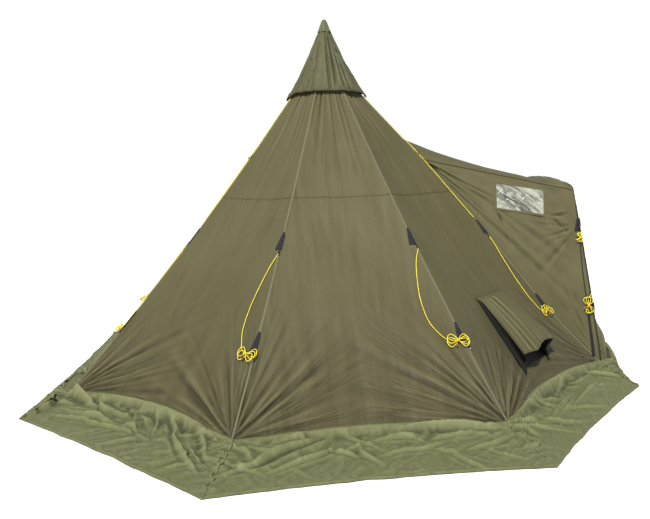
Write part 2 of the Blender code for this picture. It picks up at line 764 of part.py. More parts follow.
def build_centre_pole(alloy, plastic, rubber):
    """Foot, lower tube, twist clamp, upper tube and top cap, all about the Z axis."""
    socket = LOWER_TUBE_RADIUS + 0.0003
    turned("pole_foot", [(0.0, 0.011), (socket, 0.011), (socket, 0.045), (0.0205, 0.045), (0.0215, 0.014),
                         (0.030, 0.0125), (POLE_FOOT_RADIUS, 0.007), (POLE_FOOT_RADIUS, 0.0), (0.0, 0.0)], rubber)
    turned("pole_lower_tube", [(LOWER_TUBE_RADIUS, LOWER_TUBE_TOP), (LOWER_TUBE_RADIUS, 0.0113),
                               (LOWER_TUBE_BORE, 0.0113), (LOWER_TUBE_BORE, LOWER_TUBE_TOP)], alloy, ring=True)
    upper_top = CROWN_Z - 0.022
    bore = UPPER_TUBE_RADIUS - 0.0014
    turned("pole_upper_tube", [(UPPER_TUBE_RADIUS, upper_top), (UPPER_TUBE_RADIUS, UPPER_TUBE_FOOT),
                               (bore, UPPER_TUBE_FOOT), (bore, upper_top)], alloy, ring=True)
    plug = bore - 0.0004
    top = CROWN_Z - 0.0006
    turned("pole_top_cap", [(0.0, top), (0.010, top - 0.001), (0.0160, top - 0.006), (0.0165, upper_top + 0.0004),
                            (plug, upper_top + 0.0004), (plug, upper_top - 0.020), (0.0, upper_top - 0.020)], plastic)
    build_clamp(plastic)


def build_clamp(plastic):
    """The twist clamp: a ribbed collar over the lower tube's top, whose waist grips the upper tube."""
    over = LOWER_TUBE_RADIUS + 0.0004
    grip = UPPER_TUBE_RADIUS + 0.0004
    foot, head = LOWER_TUBE_TOP - 0.030, LOWER_TUBE_TOP + 0.042
    seat = LOWER_TUBE_TOP + 0.0004
    profile = [(0.0190, head, 0.0), (0.0215, head - 0.008, 1.0), (0.0225, foot + 0.010, 1.0), (0.0205, foot, 0.0),
               (over, foot, 0.0), (over, seat, 0.0), (grip, seat, 0.0), (grip, head, 0.0)]
    around = 27
    corners = []
    for j in range(around):
        angle = 2 * math.pi * j / around
        for radius, z, ribbed in profile:
            reach = radius + ribbed * (0.0011 if j % 3 else -0.0004)
            corners.append((reach * math.cos(angle), reach * math.sin(angle), z))
    count = len(profile)
    faces = []
    for j in range(around):
        for i in range(count):
            after = (i + 1) % count
            ring = (j + 1) % around
            faces.append((j * count + i, j * count + after, ring * count + after, ring * count + i))
    mesh = mesh_from("pole_twist_clamp", corners, faces)
    place("pole_twist_clamp", mesh, plastic)


def build_arch_pole(alloy):
    """The bent pole of the porch, in two halves. The ferrule at the top is fixed on the near half."""
    back = Vector((-0.016, 0.0, 0.0))
    line = [point + back for point in arch_line(ARCH_INSET, 8)]
    middle = len(line) // 2
    knots = [*line[:middle], line[middle]]
    knots[0] = knots[0] + Vector((0.0, 0.0, 0.014 - knots[0].z))
    route = smooth_route(knots, 18)
    top = route[-1]
    near = [point for point in route if point.y < -FERRULE_REACH - 0.005]
    for y, drop in ((-FERRULE_REACH, 0.0006), (-FERRULE_REACH + 0.0003, 0.0006), (-0.02, 0.0), (0.02, 0.0),
                    (FERRULE_REACH, 0.0006)):
        near.append(Vector((top.x, y, top.z - drop)))
    plain = len(near) - 4
    tube("arch_pole_near", near, ARCH_POLE_RADIUS, alloy, swell=[1.0] * plain + [FERRULE_SWELL] * 4)
    far = mirrored(near[:plain - 1])
    far.append(Vector((top.x, FERRULE_REACH + 0.0003, top.z - 0.0006)))
    tube("arch_pole_far", far, ARCH_POLE_RADIUS, alloy)


def slack_side(ridge):
    """The panel that a ridge's slack guy cord rests on, and the share across it that lies on the ridge."""
    return (ridge - 1, 1.0) if ridge < SIDES // 2 else (ridge, 0.0)


def beside_ridge(ridge, z, away, lift):
    """A point that lies away from the ridge, on its slack side, lifted off the cloth."""
    panel, on_ridge = slack_side(ridge)
    panel %= SIDES
    width = (ridge_point(panel + 1, z) - ridge_point(panel, z)).length
    across = abs(on_ridge - away / width)
    low = ridge_point(panel, z)
    high = ridge_point(panel + 1, z)
    return low.lerp(high, across) + panel_normal(panel) * lift


def ridge_axes(ridge, z):
    """Directions where a cord lies: along the hem to the right, out of the cloth, and down the cloth.

    A door ridge is a valley below the porch roof, so there the cord lies on the panel beside it."""
    if ridge in DOOR_RIDGES and z < VALLEY_SIDE_Z:
        return panel_frame(slack_side(ridge)[0])
    radial = ridge_direction(ridge)
    right = Vector((-radial.y, radial.x, 0.0))
    down = (ridge_point(ridge, z - 0.05) - ridge_point(ridge, z + 0.05)).normalized()
    return right, down.cross(right), down


def on_ridge(ridge, z, lift):
    """A point over the ridge, or beside it where the ridge is a valley."""
    if ridge in DOOR_RIDGES and z < VALLEY_SIDE_Z:
        return beside_ridge(ridge, z, 0.020, lift)
    return ridge_point(ridge, z) + ridge_axes(ridge, z)[1] * lift


def tied_hank(centre, right, out, down, lobe):
    """A figure-eight hank tied round its middle: it starts at the middle, turns a little with each pass and rises."""
    points = []
    for i in range(1, int(HANK_PERIODS * HANK_STEPS) + 1):
        t = 2 * math.pi * i / HANK_STEPS
        turn = math.radians(HANK_TURN_DEG) * (t / (2 * math.pi) - HANK_PERIODS / 2)
        sweep = lobe * math.sin(t)
        waist = lobe * HANK_WAIST * math.sin(2 * t)
        across = sweep * math.cos(turn) - waist * math.sin(turn)
        along = sweep * math.sin(turn) + waist * math.cos(turn)
        points.append(centre - right * across + down * along + out * HANK_PITCH * t / (2 * math.pi))
    end = points[-1] + down * 0.018 + right * 0.014
    return points + [end, end + down * 0.027 + right * 0.004 - out * 0.006]


def guy_cord_route(ridge):
    """The slack stretch down from the upper patch, and the hank tied at the lower patch, in one line."""
    pair = min(ridge, SIDES - 1 - ridge)
    slack = SLACK[pair]
    knot_z = PATCH_BASES[1] + HANK_RAISE[pair]
    right, out, down = panel_frame(slack_side(ridge)[0])
    right = right * (-1.0 if ridge < SIDES // 2 else 1.0)
    valley = ridge in DOOR_RIDGES
    centre = beside_ridge(ridge, knot_z, HANK_ASIDE[pair], 0.0095)
    knots = [on_ridge(ridge, PATCH_BASES[0] + 0.006, 0.010)]
    for share, bow in ((0.12, 0.30), (0.32, 0.62), (0.55, 0.90), (0.78, 1.0), (0.93, 0.80)):
        z = mix(PATCH_BASES[0], knot_z, share)
        knots.append(beside_ridge(ridge, z, max(slack * bow, 0.02) + (0.06 * share if valley else 0.0), 0.0075))
    knots.append(centre - down * 0.006 + right * 0.050 - out * 0.002)
    knots.append(centre - down * 0.004 + right * 0.012)
    return smooth_route(knots, 13) + tied_hank(centre, right, out, down, HANK_LOBE)


def porch_cord_route(side):
    """The cord of a porch leg: tied at the upper patch, slack in front of the wall's edge, hank at the lower."""
    knot_z = PATCH_BASES[1] + 0.05
    down = (leg_point(knot_z - 0.1, side) - leg_point(knot_z + 0.1, side)).normalized()
    out = wall_normal(2.0, knot_z, side)
    right = out.cross(down).normalized() * side
    centre = leg_point(knot_z, side) + out * 0.0105 - right * 0.030
    knots = [leg_point(PATCH_BASES[0] + 0.006, side) + out * 0.007 - right * 0.010]
    for share, inward in ((0.10, 0.00), (0.35, 0.030), (0.65, 0.045), (0.85, 0.020)):
        z = mix(PATCH_BASES[0], knot_z, share)
        knots.append(leg_point(z, side) + Vector((0.016, -side * inward, 0.0)) + out * 0.004)
    knots.append(leg_point(knot_z + 0.030, side) + right * 0.010 + out * 0.012)
    knots.append(centre - down * 0.010 + right * 0.016)
    return smooth_route(knots, 13) + tied_hank(centre, right, out, down, PORCH_LOBE)


def least_self_gap(route, radius):
    """The least gap between two parts of a cord that are more than a few diameters apart along it."""
    fine = smooth_route(route, 900)
    step = route_length(fine) / (len(fine) - 1)
    points = np.array([tuple(p) for p in fine])
    apart = np.linalg.norm(points[:, None] - points[None, :], axis=2)
    index = np.arange(len(fine))
    near = np.abs(index[:, None] - index[None, :]) * step < 8 * radius
    apart[near] = 1.0
    return float(apart.min()) - 2 * radius


def build_cords(cord):
    """A guy cord on every ridge and porch leg, and a cord from the hood's hem down four of the ridges."""
    routes = {f"guy_cord_{ridge + 1}": guy_cord_route(ridge) for ridge in range(SIDES)}
    routes["porch_cord_near"] = porch_cord_route(-1)
    routes["porch_cord_far"] = porch_cord_route(1)
    for name, route in routes.items():
        tube(name, route, CORD_RADIUS, cord, 1)
        gap = least_self_gap(route, CORD_RADIUS)
        print(f"{name}: length {route_length(route):.3f} m, least gap to itself {gap * 1000:.2f} mm")
    for ridge in HOOD_CORD_RIDGES:
        knots = []
        for z in (HOOD_HEM_Z - 0.012, 2.2, 1.95, 1.71, 1.447, PATCH_TIPS[0] + 0.012):
            knots.append(on_ridge(ridge, z, 0.009))
        route = smooth_route(knots, 16)
        tube(f"hood_cord_{ridge + 1}", route, CORD_RADIUS, cord, 1)
        print(f"hood_cord_{ridge + 1}: length {route_length(route):.3f} m")


olive = finish("canopy_cloth", OLIVE, 0.75)
skirt_olive = finish("skirt_cloth", OLIVE_LIGHT, 0.8)
hood_olive = finish("hood_cloth", OLIVE, 0.8)
tip_olive = finish("tip_cloth", OLIVE_LIGHT, 0.8)
dark_olive = finish("seam_tape", OLIVE_DARK, 0.85)
webbing = finish("black_webbing", BLACK, 0.8)
net = finish("insect_net", BLACK, 0.9, alpha=0.5)
clear = finish("clear_pane", (0.8, 0.82, 0.84), 0.1, alpha=0.35)
alloy = finish("alloy_tube", (0.62, 0.63, 0.65), 0.3, 1.0)
moulded = finish("moulded_plastic", BLACK, 0.5)
rubber = finish("foot_rubber", BLACK, 0.9)
yellow = finish("guy_cord", YELLOW, 0.7)
zip_metal = finish("zip_metal", (0.30, 0.30, 0.31), 0.4, 1.0)

build_canopy(olive)
build_ridge_tapes(dark_olive)
build_skirt(skirt_olive)
build_porch(olive, clear)
build_door(olive, zip_metal)
build_vents(olive, net)
build_hood(hood_olive, tip_olive)
build_crown(webbing)
build_centre_pole(alloy, moulded, rubber)
build_arch_pole(alloy)
build_cords(yellow)
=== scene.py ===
# Looks of the eight-sided tipi tent: sewn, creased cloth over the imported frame, its cords, and the studio.
# Metres, +Z up, +X out of the door. Ridges are numbered 0 to 7, and panel n lies between ridge n and
# ridge n + 1.

import math

import bmesh
import bpy
import numpy as np
from mathutils import Matrix, Vector, noise


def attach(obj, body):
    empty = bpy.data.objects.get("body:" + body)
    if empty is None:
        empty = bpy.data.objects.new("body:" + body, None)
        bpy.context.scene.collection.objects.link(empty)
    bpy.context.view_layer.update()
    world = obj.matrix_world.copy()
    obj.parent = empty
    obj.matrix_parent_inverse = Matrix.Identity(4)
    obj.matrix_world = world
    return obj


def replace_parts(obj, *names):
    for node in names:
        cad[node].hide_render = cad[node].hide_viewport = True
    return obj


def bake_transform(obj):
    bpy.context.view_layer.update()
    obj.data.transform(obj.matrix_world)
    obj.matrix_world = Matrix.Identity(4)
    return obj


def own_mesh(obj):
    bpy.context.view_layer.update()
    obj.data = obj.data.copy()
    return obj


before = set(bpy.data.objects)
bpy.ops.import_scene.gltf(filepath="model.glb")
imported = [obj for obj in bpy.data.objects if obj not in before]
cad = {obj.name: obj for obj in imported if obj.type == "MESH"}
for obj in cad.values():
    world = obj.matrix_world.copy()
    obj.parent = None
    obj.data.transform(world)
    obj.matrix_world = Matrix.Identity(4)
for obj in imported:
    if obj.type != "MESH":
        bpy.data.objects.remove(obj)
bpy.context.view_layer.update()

# Camera, from the photograph
CAMERA_AT = (-0.7196, -6.2984, 1.642)
CAMERA_HEADING_DEG = -6.118
CAMERA_DOWN_DEG = 7.16
CAMERA_ROLL_DEG = -1.5
CAMERA_LENS = 39.28

# Studio light: a soft lamp from the front left over an even white sky
SUN_FROM = (-0.25, -0.60, 0.76)
SUN_STRENGTH = 6.4
SUN_SIZE_DEG = 4.0
SKY_OVERHEAD = 0.18
SKY_LEVEL = 1.07
SKY_FADE = (0.26, 0.50)
SUN_COLOUR = (1.0, 0.985, 0.95)
SKY_COLOUR = (0.955, 0.978, 1.0, 1.0)

# The cone: its ridges, its hem and the panels between
SIDES = 8
BASE_RADIUS = 2.30
FIRST_RIDGE_DEG = -67.5
HOOD_HEM_Z = 2.277
NECK_RADIUS = 0.322
CANOPY_TOP_Z = 2.45
SLOPE = 1.28
RIDGE_SAG = 0.055
PORCH_PULL = 0.085
PORCH_PULL_FROM_Z = 0.45
DOOR_RIDGES = (3, 4)
DOOR_PANEL = 3
VENT_PANELS = (DOOR_PANEL - 1, DOOR_PANEL + 1)
HEM_Z = 0.014
HEM_RISE = (0.075, 0.040, 0.072, 0.0, 0.072, 0.040, 0.075, 0.060)
PANEL_DIP = 0.022

# Guy-out patches, and the level seam halfway up
PATCH_TIPS = (1.2015, 0.581)
PATCH_BASES = (1.045, 0.43)
PATCH_WIDTH = 0.047
PATCH_TAB = 0.036
BAND_Z = 1.447

# The skirt's corners, one of them drawn in, and how far its edges bow out
SKIRT_CORNERS = ((-2.33, -1.40), (-1.01, -2.83), (0.90, -2.76), (2.09, -1.51))
TUCKED_CORNER = (-2.16, 1.22)
SKIRT_BOW = (-0.02, -0.05, -0.03, 0.43, -0.03, -0.05, -0.02, -0.03)

# The porch: its walls, its arch, its valley on the cone, the doorway and the window
DOOR_X = 2.125
WALL_LEAN = 0.07
WALL_FOOT_Z = 0.008
POUCH_TOP_Z = 0.50
POUCH_DEPTH = 0.185
LEG_Y = 0.88
SHOULDER_Y = 0.53
SHOULDER_Z = 1.42
LEG_CURVE = 1.15
ARCH_TOP_Z = 1.507
VALLEY_SIDE_Z = 1.71
VALLEY_TOP_Z = 1.96
ROOF_SAG = 0.06
DOOR_HALF_WIDTH = 0.46
DOOR_SPRING_Z = 1.00
DOOR_TOP_Z = 1.30
DOOR_SILL_Z = 0.05
DOOR_GAP = 0.005
ZIP_END = 0.68
WINDOW = ((1.365, 1.284), (1.768, 1.216), (1.787, 1.434), (1.374, 1.505))
WINDOW_SIZE = (0.41, 0.24)
WINDOW_MIDDLE = (1.575, 1.36)
WINDOW_LAP = 0.014

# The low vents: the awning, its hole and its gussets
VENT_TOP_Z = 0.675
VENT_TOP_WIDTH = 0.42
VENT_HEM_WIDTH = 0.51
VENT_LENGTH = 0.54
VENT_OPEN_DEG = 12.0
VENT_HOLE = (0.34, 0.38)
VENT_HOLE_START = 0.05
VENT_LIFT = 0.006
AWNING_PULL = 0.075
# Where the black sheet of painted shade under each awning ends, in metres down the panel
VENT_SHADE_SHEET_END = 0.60
GUSSET_LENGTH = 0.645
GUSSET_PULL = 0.045

# The hood
HOOD_RADIUS = 0.340
HOOD_TOP_RADIUS = 0.045
HOOD_TOP_Z = 2.845
APEX_Z = 2.935
HOOD_PULL = 0.024
HOOD_DROP = 0.010
HOOD_ARCH = 0.026
# The hood's folds: angle at the top and at the hem, where each starts and ends, its depth and its width
HOOD_FOLDS = (
    (-0.95, -1.05, 0.58, 0.98, 0.024, 0.09), (0.02, 0.02, 0.0, 1.0, 0.012, 0.045),
    (0.30, 0.20, 0.15, 0.90, 0.012, 0.06), (0.62, 0.42, 0.10, 0.80, 0.011, 0.05),
    (0.85, 0.62, 0.05, 0.70, 0.012, 0.05), (0.95, 0.90, 0.66, 0.98, 0.020, 0.09),
    (-1.55, -1.30, 0.30, 0.90, 0.012, 0.06), (2.20, 2.10, 0.45, 0.98, 0.022, 0.09),
    (2.90, 3.05, 0.05, 0.75, 0.012, 0.06), (3.60, 3.50, 0.50, 0.95, 0.020, 0.09),
    (4.20, 4.35, 0.10, 0.80, 0.012, 0.06), (1.60, 1.50, 0.20, 0.85, 0.013, 0.06))

# Webbing: the hood's loops and the porch legs' patches, as metres out and metres up
HOOD_LOOP = ((-0.010, 0.020), (0.0, 0.012), (0.006, 0.0), (0.003, -0.013), (-0.006, -0.016),
             (-0.011, -0.006))
LEG_PATCH_Z = (1.125, 0.435)
LEG_PATCH = ((0.002, 0.070), (0.0045, 0.045), (0.006, 0.02), (0.007, 0.0), (0.006, -0.02), (0.004, -0.035))

# The loops and ring tabs on the ridges, as metres down the ridge and metres off it
RIDGE_LOOP = ((-0.030, 0.001), (-0.012, 0.003), (0.0, 0.0135), (0.008, 0.0155), (0.014, 0.010),
              (0.012, 0.002))
RIDGE_LOOP_Z = 1.76
RING_TAB = ((-0.062, 0.0025), (-0.030, 0.0030), (0.0, 0.0050), (0.007, 0.0030), (0.004, 0.0008))

# Cords: thickness, the figure-eight hanks and how far each slack cord swings aside
CORD_RADIUS = 0.0025
HANK_PERIODS = 2.5
HANK_STEPS = 18
HANK_LOBE = 0.075
HANK_WAIST = 0.40
PORCH_LOBE = 0.066
PORCH_PERIODS = 2.0
KNOT_LOBE = 0.038
HANK_PITCH = 0.0125
HANK_TURN_DEG = 24.0
HANK_ASIDE = (0.045, 0.045, 0.052, 0.088)
HANK_RAISE = (0.012, 0.012, 0.036, 0.012)
SLACK = (0.10, 0.15, 0.18, 0.11)
HOOD_CORD_RIDGES = (0, 3, 4, 7)

# Cloth: thickness, how deep its folds count as hollows for their painted shade, and the sizes of its meshes
CLOTH = 0.0012
FLOOR_CLEARANCE = 0.0016
FOLD_DEPTH = 0.022
SLIMMEST_FOLD = 0.010
SKIRT_FOLD_DEPTH = 0.034
SKIRT_ROWS = 40
SKIRT_COLUMNS = 130
SKIRT_FRAMES = 36
PANEL_COLUMNS = 210
PANEL_ROWS = 220


# Points of the frame


def mix(a, b, share):
    return a + (b - a) * share


def smooth(value, low, high):
    """0 below low, 1 above high, and eased between them."""
    t = np.clip((value - low) / (high - low), 0.0, 1.0)
    return t * t * (3 - 2 * t)


def bell(off, wide=1.0):
    """1 at 0, and falling off smoothly on both sides of it."""
    return np.exp(-((off / wide) ** 2))


def ridge_direction(ridge):
    angle = math.radians(FIRST_RIDGE_DEG + 360.0 / SIDES * ridge)
    return np.array([math.sin(angle), -math.cos(angle), 0.0])


def ridge_radius(ridge, z):
    share = z / HOOD_HEM_Z
    radius = mix(BASE_RADIUS, NECK_RADIUS, share) - 4 * RIDGE_SAG * share * (1 - share)
    if ridge % SIDES in DOOR_RIDGES:
        pulled = np.clip((z - PORCH_PULL_FROM_Z) / (HOOD_HEM_Z - PORCH_PULL_FROM_Z), 0.0, 1.0)
        radius = radius + PORCH_PULL * np.sin(math.pi * pulled)
    return radius


def ridge_point(ridge, z):
    """The ridge at height z. Both a number and an array of heights do."""
    z = np.asarray(z, float)
    return ridge_direction(ridge) * ridge_radius(ridge, z)[..., None] + np.stack([z * 0, z * 0, z], -1)


def unit(vector):
    return vector / np.linalg.norm(vector, axis=-1, keepdims=True)


def panel_normal(panel):
    low = ridge_point(panel + 1, 0.0) - ridge_point(panel, 0.0)
    up = ridge_point(panel, HOOD_HEM_Z) + ridge_point(panel + 1, HOOD_HEM_Z)
    up = up - ridge_point(panel, 0.0) - ridge_point(panel + 1, 0.0)
    return unit(np.cross(low, up))


def panel_frame(panel):
    """Directions along the hem, out of the cloth and down the cloth of a panel's middle."""
    along = unit(ridge_point(panel + 1, 0.0) - ridge_point(panel, 0.0))
    out = panel_normal(panel)
    return along, out, -np.cross(out, along)


def hem_height(panel, across):
    return HEM_Z + 4 * HEM_RISE[panel] * across * (1 - across)


def raised(z, low):
    return z + low * np.clip(1.0 - z / 0.35, 0.0, None)


def panel_base(panel, z, across):
    """A point of a panel with its dip and without its folds."""
    low, high = ridge_point(panel, z), ridge_point(panel + 1, z)
    dip = PANEL_DIP * 4 * across * (1 - across) * np.sin(math.pi * np.clip(z / CANOPY_TOP_Z, 0.0, 1.0))
    return low + (high - low) * across[..., None] - panel_normal(panel) * dip[..., None]


def valley_height(across):
    return mix(VALLEY_TOP_Z, VALLEY_SIDE_Z, np.abs(2 * across - 1) ** 1.6)


def panel_width(panel, z):
    return np.linalg.norm(ridge_point(panel + 1, z) - ridge_point(panel, z), axis=-1)


def on_panel(panel, at, lift):
    """A panel's points at the height of the given ones and straight in from them, raised by lift."""
    low, high = ridge_point(panel, at[..., 2]), ridge_point(panel + 1, at[..., 2])
    across = ((at - low) * (high - low)).sum(-1) / ((high - low) ** 2).sum(-1)
    return panel_base(panel, at[..., 2], across) + panel_normal(panel) * lift


def leg_width(z):
    """How far from the middle a leg of the porch stands at height z."""
    return mix(LEG_Y, SHOULDER_Y, (z / SHOULDER_Z) ** LEG_CURVE)


def leg_point(z, side):
    return np.array([DOOR_X - WALL_LEAN * z, side * leg_width(z), z])


def door_ridge(side):
    return DOOR_RIDGES[0] if side < 0 else DOOR_RIDGES[1]


def wall_front(z, side):
    if z <= SHOULDER_Z:
        return leg_point(z, side)
    share = (z - SHOULDER_Z) / (VALLEY_SIDE_Z - SHOULDER_Z)
    return mix(leg_point(SHOULDER_Z, side), ridge_point(door_ridge(side), VALLEY_SIDE_Z), share)


def wall_point(x, z, side):
    """The point of a porch side wall at x and z."""
    back, front = ridge_point(door_ridge(side), z), wall_front(z, side)
    return mix(back, front, (x - back[0]) / (front[0] - back[0]))


def wall_normal(x, z, side):
    here = wall_point(x, z, side)
    normal = np.cross(wall_point(x + 0.01, z, side) - here, wall_point(x, z + 0.01, side) - here)
    return unit(normal) * (-1 if normal[1] * side < 0 else 1)


def leg_axes(z, side):
    """Directions at a porch leg: down it, out of the side wall and level along the wall."""
    down = unit(leg_point(z - 0.1, side) - leg_point(z + 0.1, side))
    out = wall_normal(2.0, z, side)
    return down, out, unit(np.cross(out, down)) * side


# Routes


def distances(route):
    """Each point's distance along a route from its start."""
    return np.concatenate([[0.0], np.cumsum(np.linalg.norm(np.diff(route, axis=0), axis=1))])


def spaced(route, share):
    """The points of a route at shares of its length."""
    along = distances(route)
    return np.stack([np.interp(share * along[-1], along, column) for column in route.T], -1)


def heading(route, closed=False):
    """The direction of a route at each of its points."""
    return unit(np.roll(route, -1, 0) - np.roll(route, 1, 0) if closed else np.gradient(route, axis=0))


def bent(at, ahead, over, steps):
    """Points round `at`, each given as the metres ahead and over."""
    return [at + ahead * far + over * high for far, high in steps]


def half_turn(angle):
    """An angle brought to within half a turn of 0."""
    return np.mod(angle + math.pi, 2 * math.pi) - math.pi


# Camera and stage


def place_camera():
    """The photograph's camera, turned by its heading, its tilt and its roll."""
    lens = bpy.data.cameras.new("camera")
    lens.lens = CAMERA_LENS
    camera = bpy.data.objects.new("camera", lens)
    heading = Matrix.Rotation(math.radians(CAMERA_HEADING_DEG), 4, "Z")
    tilt = Matrix.Rotation(math.radians(90.0 - CAMERA_DOWN_DEG), 4, "X")
    roll = Matrix.Rotation(math.radians(CAMERA_ROLL_DEG), 4, "Z")
    camera.matrix_world = Matrix.Translation(CAMERA_AT) @ heading @ tilt @ roll
    bpy.context.scene.collection.objects.link(camera)
    bpy.context.scene.camera = camera


place_camera()


# Shaders


class Value:
    """A number that varies over a surface: arithmetic on it adds Math nodes to its material."""

    def __init__(self, finish, socket):
        self.finish, self.socket = finish, socket

    def math(self, operation, *others):
        return self.finish.node("Math", {i: v for i, v in enumerate((self, *others))}, operation=operation)

    def flipped(self, operation, other):
        return self.finish.node("Math", {0: other, 1: self}, operation=operation)

    def __add__(self, other):
        return self.math("ADD", other)

    def __sub__(self, other):
        return self.math("SUBTRACT", other)

    def __mul__(self, other):
        return self.math("MULTIPLY", other)

    def __truediv__(self, other):
        return self.math("DIVIDE", other)

    def __rsub__(self, other):
        return self.flipped("SUBTRACT", other)

    def __abs__(self):
        return self.math("ABSOLUTE")

    __radd__ = __add__
    __rmul__ = __mul__


class Finish:
    """A material, and the one way to add a node to it."""

    def __init__(self, name, colour, roughness, **plain):
        self.material = bpy.data.materials.new(name)
        self.material.use_nodes = True
        self.tree = self.material.node_tree
        self.shader = self.tree.nodes["Principled BSDF"]
        self.set("Base Color", colour)
        self.set("Roughness", roughness)
        for name, value in plain.items():
            self.set(name.replace("_", " ").title().replace("Ior", "IOR"), value)

    def feed(self, socket, value):
        if isinstance(value, Value):
            self.tree.links.new(value.socket, socket)
        elif isinstance(value, tuple) and len(value) == 3 and socket.type == "RGBA":
            socket.default_value = (*value, 1.0)
        else:
            socket.default_value = value

    def set(self, name, value):
        self.feed(self.shader.inputs[name], value)
        return self

    def node(self, kind, sockets=None, out=0, **settings):
        made = self.tree.nodes.new("ShaderNode" + kind)
        for name, value in settings.items():
            setattr(made, name, value)
        for key, value in (sockets or {}).items():
            self.feed(made.inputs[key], value)
        return Value(self, made.outputs[out])

    def place_at(self, kind="Object"):
        return self.node("TexCoord", out=kind)

    def stretched(self, where, scale):
        return self.node("Mapping", {"Vector": where, "Scale": scale})

    def cloud(self, where, scale, detail=2.0, rough=0.5, warp=0.0):
        """Noise from 0 to 1."""
        return self.node("TexNoise", {"Vector": where, "Scale": scale, "Detail": detail, "Roughness": rough,
                                      "Distortion": warp})

    def waves(self, where, scale, direction, warp=0.0):
        return self.node("TexWave", {"Vector": where, "Scale": scale, "Distortion": warp}, out="Fac",
                         bands_direction=direction)

    def between(self, value, low, high, new_low=0.0, new_high=1.0):
        return self.node("MapRange", {"Value": value, "From Min": low, "From Max": high, "To Min": new_low,
                                      "To Max": new_high})

    def blend(self, a, b, share):
        """A colour between two colours."""
        return self.node("Mix", {0: share, 6: a, 7: b}, out=2, data_type="RGBA")

    def attribute(self, name):
        return self.node("Attribute", out="Fac", attribute_name=name)

    def bump(self, height, strength, depth, onto=None):
        sockets = {"Height": height, "Strength": strength, "Distance": depth}
        if onto:
            sockets["Normal"] = onto
        return self.node("Bump", sockets)


def peg_creases(finish, solid):
    """Fine creases that run out of the nearest of the eight pegs, 1 in a crease and 0 on flat cloth."""
    x, y, z = (finish.node("SeparateXYZ", {0: solid}, out=k) for k in range(3))
    turn = y.math("ARCTAN2", x) - math.pi / SIDES
    aside = (x * x + y * y).math("SQRT") * turn.math("PINGPONG", math.pi / SIDES).math("SINE")
    height = z * SLOPE
    away = (aside * aside + height * height).math("SQRT")
    angle = aside.math("ARCTAN2", height)
    side = (turn * SIDES / math.pi).math("FLOOR")
    place = finish.node("CombineXYZ", {0: angle * 17.0 + side * 5.3, 1: away * 1.6, 2: side})
    fine = finish.cloud(place, 1.0, 2.0, 0.55, 0.15)
    broken = finish.cloud(place, 0.35, 1.0)
    creases = finish.between(abs(fine - 0.5), 0.0, 0.075, 1.0, 0.0)
    reach = finish.between(away, 0.25, 1.25, 1.0, 0.0) * finish.between(away, 0.0, 0.06)
    return creases * reach * finish.between(broken, 0.40, 0.62)


def cloth_finish(name, colour, shade, weave=900.0, crumple=0.35, painted_ground_shade=0.0):
    """Woven cloth: two close shades in clouds and streaks, partly random tone and partly painted sheen, a
    fine weave, small creases and sewn puckers, with painted shade in its folds and a painted highlight on
    its crests.

    The last argument is how much painted shade darkens and browns it down by the ground. Such cloth also
    creases at the pegs, with painted shade in those creases."""
    finish = Finish(name, colour, 0.62, Sheen_Weight=0.04, Sheen_Roughness=0.45, Specular_IOR_Level=0.16)
    solid = finish.place_at("Object")
    flat = finish.place_at("UV")
    # The clouds and streaks are partly random tone and partly painted sheen and painted light through the
    # thin cloth.
    clouds = finish.cloud(solid, 1.7, 3.0)
    streaks = finish.cloud(finish.stretched(flat, (9.0, 0.8, 1.0)), 1.0, 3.0, 0.6)
    tone = finish.between(clouds * 0.55 + streaks * 0.45, 0.36, 0.64)
    colours = finish.blend(colour, shade, tone)
    # Painted shade: the cloth is painted darker and browner low down by the ground, and darker in the
    # creases out of the pegs.
    if painted_ground_shade:
        height = finish.node("SeparateXYZ", {0: solid}, out=2)
        low = finish.between(height + clouds * 0.3, 0.15, 1.15, painted_ground_shade, 0.0)
        painted_shade_tone = (colour[0] * 0.52, colour[1] * 0.50, colour[2] * 0.47)
        pulled = peg_creases(finish, solid)
        colours = finish.blend(finish.blend(colours, painted_shade_tone, low), painted_shade_tone, pulled * 0.55)
    # Painted shade in the folds and a painted highlight on the crests, from how far the cloth's relief lies
    # below or above the cloth round it.
    hollow = finish.attribute("hollow")
    painted_fold_shade, wear_and_crest_light = tuple(0.42 * c for c in shade), tuple(1.35 * c for c in colour)
    colours = finish.blend(colours, painted_fold_shade, finish.between(hollow, 0.05, 1.0, 0.0, 0.85))
    colours = finish.blend(colours, wear_and_crest_light, finish.between(hollow, -0.1, -1.0, 0.0, 0.6))
    finish.set("Base Color", colours)
    finish.set("Roughness", finish.between(streaks, 0.3, 0.7, 0.55, 0.70))
    warp = finish.waves(flat, weave, "X")
    weft = finish.waves(flat, weave, "Y")
    woven = finish.bump(warp * weft, 0.10, 0.0003)
    creases = abs(finish.cloud(finish.stretched(flat, (1.0, 0.45, 1.0)), 16.0, 3.0, 0.55, 0.4) - 0.5)
    small = finish.bump(finish.between(creases, 0.0, 0.12), crumple, 0.0016, woven)
    if painted_ground_shade:
        small = finish.bump(1.0 - pulled, 0.8, 0.006, small)
    beside = finish.between(finish.attribute("seam"), 0.0, 0.022, 1.0, 0.0)
    puckers = finish.cloud(finish.stretched(flat, (12.0, 60.0, 1.0)), 1.0, 1.0)
    finish.set("Normal", finish.bump(puckers * beside, 0.5, 0.004, small))
    return finish.material


